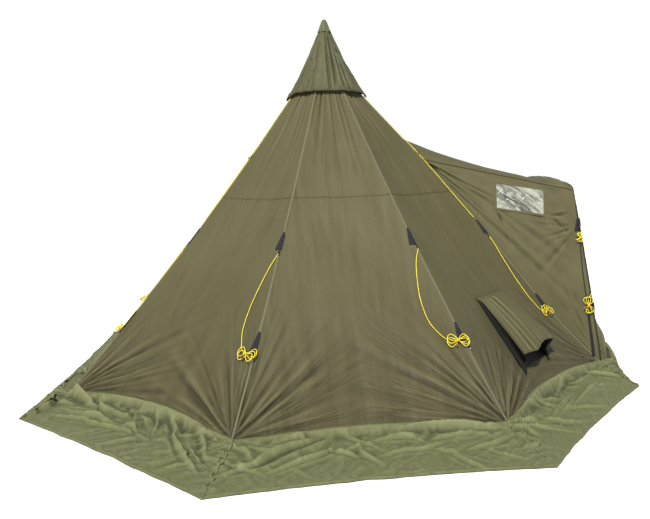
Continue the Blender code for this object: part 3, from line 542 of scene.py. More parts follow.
OLIVE = (0.075, 0.068, 0.032)
OLIVE_SHADE = (0.062, 0.056, 0.025)
SKIRT_GREEN = (0.117, 0.123, 0.057)
SKIRT_SHADE = (0.096, 0.102, 0.046)
canopy_cloth = cloth_finish("olive_canopy_cloth", OLIVE, OLIVE_SHADE, painted_ground_shade=0.55)
porch_cloth = cloth_finish("olive_porch_cloth", (0.078, 0.072, 0.033), OLIVE_SHADE, crumple=0.45)
hood_cloth = cloth_finish("olive_hood_cloth", (0.068, 0.068, 0.033), (0.055, 0.054, 0.026))
tip_cloth = cloth_finish("pale_cap_cloth", (0.088, 0.098, 0.046), (0.074, 0.083, 0.038))
skirt_cloth = cloth_finish("green_skirt_cloth", SKIRT_GREEN, SKIRT_SHADE, crumple=0.7)


def seam_finish(name, colour):
    """Folded cloth with two lines of stitches along it."""
    finish = Finish(name, colour, 0.7, Sheen_Weight=0.03, Specular_IOR_Level=0.2)
    flat = finish.place_at("UV")
    across = finish.node("SeparateXYZ", {0: flat}, out=0)
    along = finish.node("SeparateXYZ", {0: flat}, out=1)
    line = finish.between(abs(abs(across) - 0.0035), 0.0004, 0.0010, 1.0, 0.0)
    stitch = finish.between((along * 250.0).math("FRACT"), 0.25, 0.35)
    sewn = line * stitch
    finish.set("Base Color", finish.blend(colour, tuple(0.45 * c for c in colour), sewn))
    puckers = finish.cloud(finish.stretched(flat, (40.0, 120.0, 1.0)), 1.0, 2.0)
    finish.set("Normal", finish.bump(puckers - sewn * 0.6, 0.6, 0.0012))
    return finish.material


def webbing_finish(name, colour, shade):
    """Ribbed webbing in two tones."""
    finish = Finish(name, colour, 0.72, Sheen_Weight=0.03, Specular_IOR_Level=0.2)
    flat = finish.place_at("UV")
    ribs = finish.waves(flat, 320.0, "DIAGONAL")
    wear_and_crest_light = finish.cloud(flat, 60.0, 3.0)
    finish.set("Base Color", finish.blend(colour, shade, ribs * 0.5 + wear_and_crest_light * 0.5))
    finish.set("Normal", finish.bump(ribs, 0.4, 0.0006))
    return finish.material


def cord_finish():
    """Braided cord: crossed diagonal strands."""
    finish = Finish("yellow_braided_cord", (0.74, 0.60, 0.02), 0.5, Sheen_Weight=0.05,
                    Specular_IOR_Level=0.25)
    flat = finish.place_at("UV")
    left = finish.waves(finish.stretched(flat, (300.0, 3.0, 1.0)), 1.0, "DIAGONAL")
    right = finish.waves(finish.stretched(flat, (300.0, -3.0, 1.0)), 1.0, "DIAGONAL")
    braid = left * right
    # The darker gap colour is painted shade between the strands.
    gap, strand = (0.50, 0.38, 0.012), (0.90, 0.78, 0.03)
    finish.set("Base Color", finish.blend(gap, strand, finish.between(braid, 0.0, 0.45)))
    finish.set("Normal", finish.bump(braid, 0.5, 0.0008))
    return finish.material


PANE_SLANT = math.radians(30.0)


def pane_finish():
    """Clear soft sheet with long soft creases in it. Its colour holds a painted reflection, pale along the
    creases and ripples, and painted shade, near black in a slanting band.
    """
    finish = Finish("clear_soft_pane", (0.45, 0.46, 0.43), 0.16, Specular_IOR_Level=0.6)
    flat = finish.place_at("UV")
    slanted = finish.node("Mapping", {"Vector": flat, "Rotation": (0.0, 0.0, PANE_SLANT)})
    ripple = finish.cloud(finish.stretched(slanted, (5.0, 26.0, 1.0)), 1.0, 3.0, 0.6, 0.5)
    sharp = finish.between(abs(ripple - 0.5), 0.0, 0.07)
    finish.set("Alpha", finish.between(sharp, 0.0, 1.0, 0.95, 0.62))
    # Painted reflection and painted shade: pale on the ripples and along the sharp creases, near black in a
    # slanting band.
    painted_reflection = finish.blend((0.40, 0.41, 0.35), (0.15, 0.155, 0.115), finish.between(ripple, 0.44, 0.60))
    across = finish.node("SeparateXYZ", {0: slanted}, out=1)
    band = finish.between(abs(across - 0.045), 0.02, 0.07, 1.0, 0.25)
    finish.set("Base Color", finish.blend(painted_reflection, (0.022, 0.023, 0.018), (1.0 - sharp) * band))
    finish.set("Roughness", finish.between(ripple, 0.3, 0.7, 0.10, 0.30))
    finish.set("Normal", finish.bump(ripple * 0.7 + sharp * 0.3, 0.9, 0.012))
    return finish.material


def net_finish():
    """Black insect net: fine square holes."""
    finish = Finish("black_insect_net", (0.012, 0.011, 0.013), 0.8)
    flat = finish.place_at("UV")
    threads = finish.waves(flat, 250.0, "X") * finish.waves(flat, 250.0, "Y")
    finish.set("Alpha", finish.between(threads, 0.30, 0.45, 1.0, 0.25))
    return finish.material


def metal_finish(name, colour, roughness):
    """Drawn metal with fine lines along it."""
    finish = Finish(name, colour, roughness, Metallic=1.0)
    drawn = finish.cloud(finish.stretched(finish.place_at("Object"), (400.0, 400.0, 6.0)), 1.0, 2.0)
    finish.set("Roughness", finish.between(drawn, 0.3, 0.7, roughness - 0.08, roughness + 0.10))
    finish.set("Normal", finish.bump(drawn, 0.12, 0.0004))
    return finish.material


def moulded_finish(name, colour, roughness):
    """Moulded plastic or rubber with a faint grain."""
    finish = Finish(name, colour, roughness)
    grain = finish.cloud(finish.place_at("Object"), 900.0, 2.0)
    finish.set("Roughness", finish.between(grain, 0.3, 0.7, roughness - 0.08, roughness + 0.08))
    finish.set("Normal", finish.bump(grain, 0.18, 0.0004))
    return finish.material


olive_seam = seam_finish("olive_seam", (0.055, 0.051, 0.023))
# The ridge seam's paler colour is a painted highlight along the raised rib of each ridge.
ridge_highlight_seam = seam_finish("worn_ridge_seam", (0.112, 0.108, 0.060))
black_webbing = webbing_finish("black_webbing", (0.006, 0.0055, 0.008), (0.016, 0.0145, 0.020))
# Black cloth for the gussets, also used for the black sheet of painted shade below each awning.
black_cloth_and_shade = webbing_finish("black_gusset_and_shade_cloth", (0.0045, 0.0045, 0.0045), (0.011, 0.0105, 0.009))
yellow_cord = cord_finish()
clear_pane = pane_finish()
insect_net = net_finish()
alloy = metal_finish("drawn_alloy", (0.62, 0.63, 0.65), 0.32)
ring_steel = metal_finish("ring_steel", (0.50, 0.50, 0.50), 0.30)
slider_metal = metal_finish("slider_metal", (0.22, 0.22, 0.23), 0.42)
black_moulding = moulded_finish("black_moulding", (0.014, 0.013, 0.015), 0.50)
foot_rubber = moulded_finish("foot_rubber", (0.016, 0.015, 0.016), 0.85)
red_moulding = moulded_finish("red_moulding", (0.26, 0.008, 0.012), 0.35)


# Cloth


def link(obj):
    bpy.context.scene.collection.objects.link(obj)
    return obj


def grid_faces(rows, columns, flip):
    corner = np.arange(rows * columns).reshape(rows, columns)
    a, b = corner[:-1, :-1], corner[:-1, 1:]
    c, d = corner[1:, 1:], corner[1:, :-1]
    quads = np.stack([a, b, c, d] if not flip else [d, c, b, a], -1)
    return quads.reshape(-1, 4)


def normals_of(points):
    across = np.gradient(points, axis=1)
    down = np.gradient(points, axis=0)
    return unit(np.cross(across, down) + 1e-12)


def arc(points, axis):
    """Lengths along a grid's rows or columns, from its first point."""
    step = np.linalg.norm(np.diff(points, axis=axis), axis=-1)
    first = np.zeros_like(np.take(step, [0], axis=axis))
    return np.cumsum(np.concatenate([first, step], axis=axis), axis=axis)


def finer(grid, axis):
    """A grid with a point between every two along one axis, smoothed like a subdivision."""
    grid = np.moveaxis(grid, axis, 0)
    kept = grid.copy()
    kept[1:-1] = (grid[:-2] + 6 * grid[1:-1] + grid[2:]) / 8
    made = np.empty((2 * len(grid) - 1, *grid.shape[1:]))
    made[0::2], made[1::2] = kept, (grid[:-1] + grid[1:]) / 2
    return np.moveaxis(made, 0, axis)


def sunk(height, depth):
    """How far each point of a grid lies below the points round it, from -1 on a crest to 1 in a fold."""
    below = 0.0
    for step in (2, 5, 10):
        wide = np.pad(height, step, mode="edge")
        sides = (wide[:-2 * step, step:-step], wide[2 * step:, step:-step], wide[step:-step, :-2 * step],
                 wide[step:-step, 2 * step:])
        below = below + sum(sides) / 4 - height
    return np.clip(below / depth, -1.0, 1.0)


def sheet_mesh(name, points, uv, material, flip=False, seam=None, hollow=None):
    """A mesh through a grid of points. Seam is each point's distance from the nearest seam."""
    rows, columns = points.shape[:2]
    faces = grid_faces(rows, columns, flip)
    mesh = bpy.data.meshes.new(name)
    mesh.from_pydata(points.reshape(-1, 3).tolist(), [], faces.tolist())
    mesh.materials.append(material)
    layer = mesh.uv_layers.new(name="UVMap")
    loops = np.empty(len(mesh.loops), np.int32)
    mesh.loops.foreach_get("vertex_index", loops)
    layer.data.foreach_set("uv", uv.reshape(-1, 2)[loops].astype(np.float32).ravel())
    for label, values, plain in (("seam", seam, 1.0), ("hollow", hollow, 0.0)):
        values = np.broadcast_to(plain if values is None else values, (rows, columns)).ravel()
        layer = mesh.attributes.new(label, "FLOAT", "POINT")
        layer.data.foreach_set("value", np.ascontiguousarray(values, np.float32))
    mesh.shade_smooth()
    return link(bpy.data.objects.new(name, mesh))


def settle(obj):
    """Applies the object's modifiers."""
    graph = bpy.context.evaluated_depsgraph_get()
    final = bpy.data.meshes.new_from_object(obj.evaluated_get(graph), depsgraph=graph)
    obj.modifiers.clear()
    obj.data = final
    return obj


def thicken(obj, thickness, side=-1.0):
    shell = obj.modifiers.new("thickness", "SOLIDIFY")
    shell.thickness = thickness
    shell.offset = side
    return settle(obj)


def fixed(obj, body="tent"):
    """Gives a piece the body that it moves with."""
    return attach(obj, body)


def sewn(name, base, relief, material, body, nodes, slot, held, outward, thickness=CLOTH, seam=None,
         wide=None, tall=None, shaped=None, deep=FOLD_DEPTH):
    """A sheet of cloth: the smooth cut `base` and its folds, heights along its normal or `shaped`."""
    normal = normals_of(base)
    flip = float((normal * outward).sum(-1).mean()) > 0
    if not flip:
        normal = -normal
    run = arc(base, 1)
    uv = np.stack([run - run[:, -1:] / 2, np.broadcast_to(arc(base, 0).mean(1)[:, None], run.shape)], -1)
    points = base + normal * relief[..., None] if shaped is None else shaped
    points[..., 2] = np.maximum(points[..., 2], FLOOR_CLEARANCE)
    obj = sheet_mesh(name, points, uv, material, not flip, seam, sunk(relief, deep))
    if thickness:
        thicken(obj, thickness)
    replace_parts(obj, *nodes)
    fixed(obj, body)
    declare(base, wide, tall)
    return obj


def declare(base, wide=None, tall=None):
    """Works out a sheet's flat size: the longest row by the longest column, and the area of the smooth cut.
    The result is not kept.
    """
    wide = wide or float(arc(base, 1)[:, -1].max())
    tall = tall or float(arc(base, 0)[-1].max())
    side_a, side_b = np.diff(base[:, :-1], axis=0), np.diff(base[:-1], axis=1)
    area = float(np.linalg.norm(np.cross(side_a, side_b), axis=-1).sum())
    round(min(area, wide * tall), 4)


def clouds(points, size, seed):
    """Smooth noise about 0 at each point, with features of that size."""
    flat = (np.asarray(points, float).reshape(-1, 3) / size + seed * 7.31).tolist()
    return np.array([noise.noise(p) for p in flat]).reshape(points.shape[:-1])


def flat_clouds(across, along, size_across, size_along, seed):
    across, along = np.broadcast_arrays(across, along)
    return clouds(np.stack([across / size_across, along / size_along, across * 0], -1), 1.0, seed)


def crumple(across, along, size, seed):
    """Sharp little creases: 0 on the flats and 1 on a crest."""
    field = flat_clouds(across, along, size, size, seed)
    field = field + 0.5 * flat_clouds(across, along, size / 2, size / 2, seed + 5)
    return np.clip(1.0 - np.abs(field) * 5.0, 0.0, 1.0) ** 1.5


def fan(centre, right, up, points, seed, count, spread, tall, far, width=(0.5, 1.7)):
    """Folds that fan out of a peg at centre, between the angles of spread from `right` towards `up`."""
    draw = np.random.RandomState(seed)
    x, y = (points - centre) @ right, (points - centre) @ up
    reach, angle = np.hypot(x, y), np.degrees(np.arctan2(y, x))
    slimmest = np.degrees(SLIMMEST_FOLD / np.maximum(reach, 0.02))
    relief = np.zeros(reach.shape)
    for _ in range(count):
        at, wide = draw.uniform(*spread), draw.uniform(*width)
        height = tall * draw.uniform(0.35, 1.0) * draw.choice((-1.0, -1.0, 0.55))
        length, bend = far * draw.uniform(0.35, 1.0), draw.uniform(-5.0, 5.0)
        off = (angle - at - bend * reach) / np.maximum(wide, slimmest)
        grow = np.clip(reach / 0.10, 0.0, 1.0) * bell(reach, length)
        relief += height * grow * (bell(off) - 0.45 * bell(np.abs(off) - 1.8))
    return relief


def pleats(across, depth, seed, count, spread, tall, far, width):
    """Folds straight down from a gathered edge. Across is a share, depth the way down from the edge."""
    draw = np.random.RandomState(seed)
    relief = np.zeros(np.broadcast(across, depth).shape)
    for _ in range(count):
        at, wide = draw.uniform(*spread), draw.uniform(*width)
        height = tall * draw.uniform(0.4, 1.0) * draw.choice((-1.0, 0.7))
        length, drift = far * draw.uniform(0.3, 1.0), draw.uniform(-0.05, 0.05)
        off = (across - at - drift * depth) / wide
        relief += height * bell(depth, length) * (bell(off) - 0.4 * bell(off - 1.6))
    return relief


def crowded(count, edge):
    """Shares from 0 to 1, closer together towards both ends."""
    t = np.linspace(0.0, 1.0, count)
    return mix(t, 0.5 - 0.5 * np.cos(math.pi * t), edge)


def cut_hole(obj, near, far):
    """Cuts a four-sided hole through a thickened sheet, between two quadrilaterals."""
    faces = [(0, 1, 2, 3), (7, 6, 5, 4)] + [(i, i + 4, (i + 1) % 4 + 4, (i + 1) % 4) for i in range(4)]
    mesh = bpy.data.meshes.new("cutter")
    mesh.from_pydata([tuple(p) for p in (*near, *far)], [], faces)
    work = bmesh.new()
    work.from_mesh(mesh)
    bmesh.ops.recalc_face_normals(work, faces=work.faces)
    work.to_mesh(mesh)
    work.free()
    tool = link(bpy.data.objects.new("cutter", mesh))
    hole = obj.modifiers.new("hole", "BOOLEAN")
    hole.operation, hole.object = "DIFFERENCE", tool
    bpy.context.view_layer.update()
    settle(obj)
    bpy.data.objects.remove(tool)


def vent_place(panel):
    along, out, down = panel_frame(panel)
    top = (ridge_point(panel, VENT_TOP_Z) + ridge_point(panel + 1, VENT_TOP_Z)) / 2
    return top, along, out, down


def panel_relief(panel, z, across, points):
    """A panel's folds: fans into its pegs, gathers under the hood, soft clouds, and calm cloth at a vent."""
    along, _, down = panel_frame(panel)
    width = panel_width(panel, z)
    left, right = ridge_point(panel, 0.02), ridge_point(panel + 1, 0.02)
    slant = (CANOPY_TOP_Z - z) * SLOPE
    edge = np.minimum(across, 1 - across) * width
    level = (across - 0.5) * width
    relief = 0.0
    for corner, toward, seed in ((left, along, 11 + panel), (right, -along, 41 + panel)):
        relief = relief + fan(corner, toward, -down, points, seed, 40, (1.0, 76.0), 0.0110, 0.80, (0.8, 1.9))
        relief += fan(corner, toward, -down, points, seed + 60, 8, (4.0, 60.0), 0.0180, 0.95, (1.8, 3.4))
    relief *= 1.0 + 1.1 * flat_clouds(level, slant, 0.16, 0.16, 7 + panel)
    relief += pleats(across, slant - 0.15, 131 + panel, 24, (0.03, 0.97), 0.0085, 0.75, (0.012, 0.040))
    relief += 0.016 * clouds(points, 0.60, 3 + panel) * smooth(edge, 0.0, 0.25)
    relief += 0.0060 * flat_clouds(level, slant, 0.11, 0.70, 9 + panel)
    relief += 0.0022 * flat_clouds(level, slant, 0.045, 0.26, 19 + panel)
    relief -= 0.0026 * bell(z - BAND_Z, 0.012)
    relief += 0.0030 * bell(z - BAND_Z, 0.05) * flat_clouds(level, slant, 0.024, 0.2, 29)
    hem = z - hem_height(panel, across)
    relief += 0.0040 * np.exp(-hem / 0.10) * flat_clouds(level, slant, 0.022, 0.25, 39 + panel)
    if panel in VENT_PANELS:
        top, *_ = vent_place(panel)
        away = np.linalg.norm(points - (top + down * VENT_LENGTH * 0.5), axis=-1)
        relief *= mix(0.35, 1.0, smooth(away, 0.22, 0.45))
    above = 0.0062 + 0.008 * smooth(edge, 0.10, 0.20)
    relief = np.where(relief > 0.0, above * np.tanh(relief / above), 0.030 * np.tanh(relief / 0.030))
    return relief * smooth(edge, 0.0, 0.014)


def make_canopy():
    """Seven panels from the hem to the neck, each with its folds, and the holes of the two low vents."""
    across = crowded(PANEL_COLUMNS, 0.55)[None, :]
    low = int(PANEL_ROWS * 0.38)
    rows = np.linspace(0.0, 0.30, low, endpoint=False)
    rows = np.concatenate([rows, np.linspace(0.30, 1.0, PANEL_ROWS - low)])
    for panel in range(SIDES):
        if panel == DOOR_PANEL:
            continue
        z = raised(rows[:, None] * CANOPY_TOP_Z, hem_height(panel, across))
        share = np.broadcast_to(across, z.shape)
        base = panel_base(panel, z, share)
        width = panel_width(panel, z)
        seam = np.minimum.reduce([share * width, (1 - share) * width, np.abs(z - BAND_Z)])
        name = f"canopy_panel_{panel + 1}"
        made = sewn(f"sewn_{name}", base, panel_relief(panel, z, share, base), canopy_cloth, "tent", [name],
                    "canopy_cloth", "stretched", panel_normal(panel), seam=seam)
        if panel in VENT_PANELS:
            top, along, out, down = vent_place(panel)
            wide, tall = VENT_HOLE
            corners = [top + along * side * wide / 2 + down * (VENT_HOLE_START + far * tall)
                       for side, far in ((-1, 0), (1, 0), (1, 1), (-1, 1))]
            cut_hole(made, [c + out * 0.06 for c in corners], [c - out * 0.08 for c in corners])


def make_band_seams():
    """The stitched joint that runs level round the tent where its upper and lower cloth meet."""
    for panel in range(SIDES):
        if panel == DOOR_PANEL:
            continue
        across = np.linspace(0.004, 0.996, 150)
        width = np.linalg.norm(ridge_point(panel + 1, BAND_Z) - ridge_point(panel, BAND_Z))
        height = BAND_Z + 0.003 * flat_clouds(across * width, across * 0, 0.09, 1.0, 40 + panel)
        route = panel_base(panel, height, across)
        route = route + panel_normal(panel) * (panel_relief(panel, height, across, route)[:, None] + 0.0014)
        rib(f"band_seam_{panel + 1}", route, panel_frame(panel)[2], 0.0048, 0.0013, olive_seam)


def make_gable():
    """The short panel above the porch roof."""
    across = crowded(70, 0.4)[None, :]
    rows = np.linspace(0.0, 1.0, 60)[:, None]
    z = mix(valley_height(across) + 0.004, CANOPY_TOP_Z, rows)
    share = np.broadcast_to(across, z.shape)
    base = panel_base(DOOR_PANEL, z, share)
    slant = (CANOPY_TOP_Z - z) * SLOPE - 0.15
    relief = pleats(share, slant, 177, 14, (0.05, 0.95), 0.0030, 0.6, (0.012, 0.04))
    relief += 0.006 * clouds(base, 0.3, 5)
    edge = np.minimum(share, 1 - share)
    relief = np.clip(relief, -0.012, 0.005) * smooth(edge, 0.0, 0.05)
    sewn("sewn_door_gable", base, relief, canopy_cloth, "tent", ["canopy_door_gable"], "canopy_cloth",
         "stretched", panel_normal(DOOR_PANEL), seam=np.minimum(edge * 0.5, z - valley_height(across)),
         wide=float(np.linalg.norm(base[0, -1] - base[0, 0])))


# Seams, patches and rings


def ridge_sides(ridge, z):
    """At each height: the ridge, the level directions into both neighbours, and their outward normals."""
    up = unit(ridge_point(ridge, z + 0.01) - ridge_point(ridge, z - 0.01))
    here = ridge_point(ridge, z)
    left = unit(ridge_point(ridge - 1, z) - here)
    right = unit(ridge_point(ridge + 1, z) - here)
    side = {DOOR_RIDGES[0]: -1, DOOR_RIDGES[1]: 1}.get(ridge % SIDES)
    if side:
        toward = np.array([wall_front(h, side) if h < VALLEY_SIDE_Z - 0.02 else p + d
                           for h, p, d in zip(z, here, right if side < 0 else left)])
        turned = unit(toward - here)
        left, right = (left, turned) if side < 0 else (turned, right)
    return here, left, right, unit(np.cross(up, left)), unit(np.cross(right, up))


def folded_strip(name, z, ridge, widths, lift, material, crease=0.0):
    """A band folded over a ridge: widths are its reach down each side, left and right."""
    here, left, right, left_out, right_out = ridge_sides(ridge, z)
    crest = (left_out + right_out) / (1.0 + (left_out * right_out).sum(-1, keepdims=True))
    columns, us = [here + crest * (lift + crease)], [widths[0] * 0]
    for share in (0.33, 0.66, 0.999, 1.0):
        low = lift if share < 1.0 else -0.0005
        left_edge = here + left * (widths[0] * share)[:, None] + left_out * low
        right_edge = here + right * (widths[1] * share)[:, None] + right_out * low
        columns = [left_edge, *columns, right_edge]
        us = [-widths[0] * share, *us, widths[1] * share]
    points = np.stack(columns, 1)
    along = arc(here[:, None], 0)
    uv = np.stack(np.broadcast_arrays(np.stack(us, 1), along), -1)
    flip = float((normals_of(points) * crest[:, None]).sum(-1).mean()) > 0
    return sheet_mesh(name, points, uv, material, not flip)


def make_ridges():
    """A felled seam on each ridge, its black guy-out patches, and the loop and ring at each patch's foot."""
    heights = np.linspace(HEM_Z + 0.006, CANOPY_TOP_Z, 190)
    for ridge in range(SIDES):
        flat = np.full(len(heights), 0.0075)
        seam = folded_strip(f"ridge_seam_{ridge + 1}", heights, ridge, (flat, flat), 0.0012, ridge_highlight_seam,
                            0.0008)
        fixed(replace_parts(seam, f"ridge_tape_{ridge + 1}"))
        for tip, base, label in zip(PATCH_TIPS, PATCH_BASES, ("upper", "lower")):
            z = np.linspace(tip, base + PATCH_TAB, 14)
            reach = mix(0.004, PATCH_WIDTH, np.linspace(0.0, 1.0, 14) ** 0.9)
            inner = np.minimum(reach, 0.013)
            widths = (reach, inner) if ridge < SIDES // 2 else (inner, reach)
            name = f"guy_patch_{label}_{ridge + 1}"
            patch = folded_strip(name, z, ridge, widths, 0.0026, black_webbing, 0.002)
            fixed(patch)
# Cords, ribbons and rings


def tube_faces(run, sides, girth, closed):
    """Faces of a tube whose rings lie at the distances of run, and their flat map in metres."""
    count = len(run)
    faces, uvs = [], []
    for i in range(count if closed else count - 1):
        after, there = (i + 1) % count, run[i + 1] if i + 1 < count else run[-1] * (1 + 1 / count)
        for j in range(sides):
            k = (j + 1) % sides
            faces.append((i * sides + j, i * sides + k, after * sides + k, after * sides + j))
            low, high = girth * j / sides, girth * (j + 1) / sides
            uvs += [(low, run[i]), (high, run[i]), (high, there), (low, there)]
    if not closed:
        faces += [tuple(range(sides))[::-1], tuple((count - 1) * sides + j for j in range(sides))]
        uvs += [(0.0, 0.0)] * (2 * sides)
    return faces, uvs


def sweep(name, route, material, half_width, half_thick=None, across=None, sides=12, square=2.0,
          closed=False):
    """A bar along a route, round or a ribbon as wide as `across`. Square above 2 flattens its faces."""
    route = np.asarray(route, float)
    half_thick = half_width if half_thick is None else half_thick
    ahead = heading(route, closed)
    if across is None:
        start = np.cross(ahead[0], (0.31, 0.22, 0.93))
        across = [unit(start)]
        for along in ahead[1:]:
            across.append(unit(across[-1] - along * (across[-1] @ along)))
    across = np.array(across, float)
    if across.ndim == 1:
        across = np.broadcast_to(across, route.shape)
    across = unit(across - ahead * (across * ahead).sum(-1, keepdims=True))
    over = np.cross(ahead, across)
    turn = np.linspace(0.0, 2 * math.pi, sides, endpoint=False)
    wide = np.sign(np.cos(turn)) * np.abs(np.cos(turn)) ** (2 / square)
    high = np.sign(np.sin(turn)) * np.abs(np.sin(turn)) ** (2 / square)
    half_width = np.broadcast_to(half_width, (len(route),))[:, None, None]
    half_thick = np.broadcast_to(half_thick, (len(route),))[:, None, None]
    spread = across[:, None] * wide[:, None] * half_width
    points = route[:, None] + spread + over[:, None] * high[:, None] * half_thick
    girth = 2 * math.pi * float(half_width.mean() + half_thick.mean()) / 2
    faces, uvs = tube_faces(distances(route), sides, girth, closed)
    mesh = bpy.data.meshes.new(name)
    mesh.from_pydata(points.reshape(-1, 3).tolist(), [], faces)
    mesh.materials.append(material)
    mesh.uv_layers.new(name="UVMap").data.foreach_set("uv", np.array(uvs, np.float32).ravel())
    mesh.shade_smooth()
    return link(bpy.data.objects.new(name, mesh))


def smooth_route(knots, count):
    """Evenly spread points on the smooth curve through the knots."""
    knots = np.array([np.asarray(k, float) for k in knots])
    ends = np.vstack([2 * knots[0] - knots[1], knots, 2 * knots[-1] - knots[-2]])
    t = (np.arange(20) / 20)[:, None]
    fine = []
    for i in range(1, len(ends) - 2):
        p0, p1, p2, p3 = ends[i - 1 : i + 3]
        fine.append((p1 * 2 + (p2 - p0) * t + (p0 * 2 - p1 * 5 + p2 * 4 - p3) * t**2
                     + (p1 * 3 - p0 - p2 * 3 + p3) * t**3) / 2)
    fine = np.vstack([*fine, knots[-1]])
    along = distances(fine)
    wanted = np.linspace(0.0, along[-1], count)
    return np.stack([np.interp(wanted, along, fine[:, k]) for k in range(3)], -1)


def slack_side(ridge):
    """The panel that a ridge's slack cord rests on, and the share across it that lies on the ridge."""
    return ((ridge - 1) % SIDES, 1.0) if ridge < SIDES // 2 else (ridge, 0.0)


def beside_ridge(ridge, z, away, lift):
    """A point away from the ridge, on its slack side, lifted off the cloth."""
    panel, on_it = slack_side(ridge)
    low, high = ridge_point(panel, z), ridge_point(panel + 1, z)
    return mix(low, high, abs(on_it - away / np.linalg.norm(high - low))) + panel_normal(panel) * lift


def ridge_axes(ridge, z):
    """Directions where a cord lies: level to the right, out of the cloth and down the cloth."""
    if ridge in DOOR_RIDGES and z < VALLEY_SIDE_Z:
        return panel_frame(slack_side(ridge)[0])
    radial = ridge_direction(ridge)
    right = np.array([-radial[1], radial[0], 0.0])
    down = unit(ridge_point(ridge, z - 0.05) - ridge_point(ridge, z + 0.05))
    return right, np.cross(down, right), down


def on_ridge(ridge, z, lift):
    if ridge in DOOR_RIDGES and z < VALLEY_SIDE_Z:
        return beside_ridge(ridge, z, 0.020, lift)
    return ridge_point(ridge, z) + ridge_axes(ridge, z)[1] * lift


def tied_hank(centre, right, out, down, lobe, periods=HANK_PERIODS):
    """A figure-eight hank tied round its middle: it turns a little with each pass and rises."""
    points = []
    for i in range(1, int(periods * HANK_STEPS) + 1):
        t = 2 * math.pi * i / HANK_STEPS
        turn = math.radians(HANK_TURN_DEG) * (t / (2 * math.pi) - periods / 2)
        sweep_out, waist = lobe * math.sin(t), lobe * HANK_WAIST * math.sin(2 * t)
        across = sweep_out * math.cos(turn) - waist * math.sin(turn)
        along = sweep_out * math.sin(turn) + waist * math.cos(turn)
        points.append(centre - right * across + down * along + out * HANK_PITCH * t / (2 * math.pi))
    onward = -right * math.cos(2 * math.pi * periods)
    end = points[-1] + down * 0.018 + onward * 0.014
    return points + [end, end + down * 0.027 + onward * 0.004 - out * 0.006]


def guy_cord_route(ridge):
    """The slack stretch down from the upper patch, and the hank at the lower patch, in one line."""
    pair = min(ridge, SIDES - 1 - ridge)
    knot_z = PATCH_BASES[1] + HANK_RAISE[pair]
    right, out, down = panel_frame(slack_side(ridge)[0])
    right = right * (-1.0 if ridge < SIDES // 2 else 1.0)
    valley = ridge in DOOR_RIDGES
    centre = beside_ridge(ridge, knot_z, HANK_ASIDE[pair], 0.0095)
    knots = [on_ridge(ridge, PATCH_BASES[0] + 0.006, 0.010)]
    for share, bow in ((0.12, 0.30), (0.32, 0.62), (0.55, 0.90), (0.78, 1.0), (0.93, 0.80)):
        away = max(SLACK[pair] * bow, 0.02) + (0.06 * share if valley else 0.0)
        knots.append(beside_ridge(ridge, mix(PATCH_BASES[0], knot_z, share), away, 0.0075))
    knots.append(centre - down * 0.006 + right * 0.050 - out * 0.002)
    knots.append(centre - down * 0.004 + right * 0.012)
    return [*smooth_route(knots, 13), *tied_hank(centre, right, out, down, HANK_LOBE)]


def porch_cord_route(side):
    """The cord of a porch leg: tied at the upper patch, slack before the wall's edge, hank at the lower."""
    knot_z = PATCH_BASES[1] + 0.05
    down, out, right = leg_axes(knot_z, side)
    centre = leg_point(knot_z, side) + out * 0.0125 + right * 0.036
    knots = [leg_point(PATCH_BASES[0] + 0.006, side) + out * 0.007 - right * 0.010]
    for share, inward in ((0.10, 0.00), (0.35, 0.030), (0.60, 0.040), (0.74, 0.015)):
        z = mix(PATCH_BASES[0], knot_z, share)
        knots.append(leg_point(z, side) + np.array([0.016, -side * inward, 0.0]) + out * 0.004)
    knots.append(leg_point(knot_z + 0.105, side) + np.array([0.016, 0.0, 0.0]) + out * 0.014)
    knots.append(centre - down * 0.062 - right * 0.016 - out * 0.001)
    knots.append(centre - down * 0.028 - right * 0.010 - out * 0.001)
    knots.append(centre - down * 0.009 - right * 0.004 - out * 0.001)
    return [*smooth_route(knots, 15), *tied_hank(centre, -down, out, right, PORCH_LOBE, PORCH_PERIODS)]


def line_lock(name, at, along, over):
    """A small toothed slider that the cord threads, with a hole at each end and a waist."""
    along = unit(along)
    across = unit(np.cross(along, over))
    body = [at + along * s for s in np.linspace(-0.0135, 0.0135, 15)]
    t = np.linspace(-1.0, 1.0, 15)
    shape = np.sqrt(np.clip(1 - t**6, 0.02, 1))
    lock = sweep(name, body, red_moulding, 0.0062 * shape * (1 - 0.25 * np.exp(-(t / 0.3) ** 2)),
                 0.0048 * shape, across, 16, 3.2)
    fixed(lock)
    return lock


def guy_cord(node, route, *knots):
    """One tied guy cord with its line lock and the knots made in it."""
    fine = smooth_route(route, 620)
    obj = sweep(f"braided_{node}", fine, yellow_cord, CORD_RADIUS, sides=10)
    tail = np.array(route[-2])
    lock = line_lock(f"line_lock_{node}", mix(tail, np.array(route[-1]), 0.35), route[-1] - tail,
                     unit(np.cross(route[-1] - tail, (0.0, 0.0, 1.0))))
    fixed(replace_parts(obj, node))


def hood_cord(ridge):
    """A cord from the hood's hem down the ridge to the upper patch."""
    heights = (HOOD_HEM_Z - 0.012, 2.2, 1.95, 1.71, BAND_Z, PATCH_TIPS[0] + 0.012)
    knots = [on_ridge(ridge, z, 0.009) for z in heights]
    fine = smooth_route(smooth_route(knots, 16), 240)
    obj = sweep(f"braided_hood_cord_{ridge + 1}", fine, yellow_cord, CORD_RADIUS, sides=10)
    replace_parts(obj, f"hood_cord_{ridge + 1}")
    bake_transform(obj)


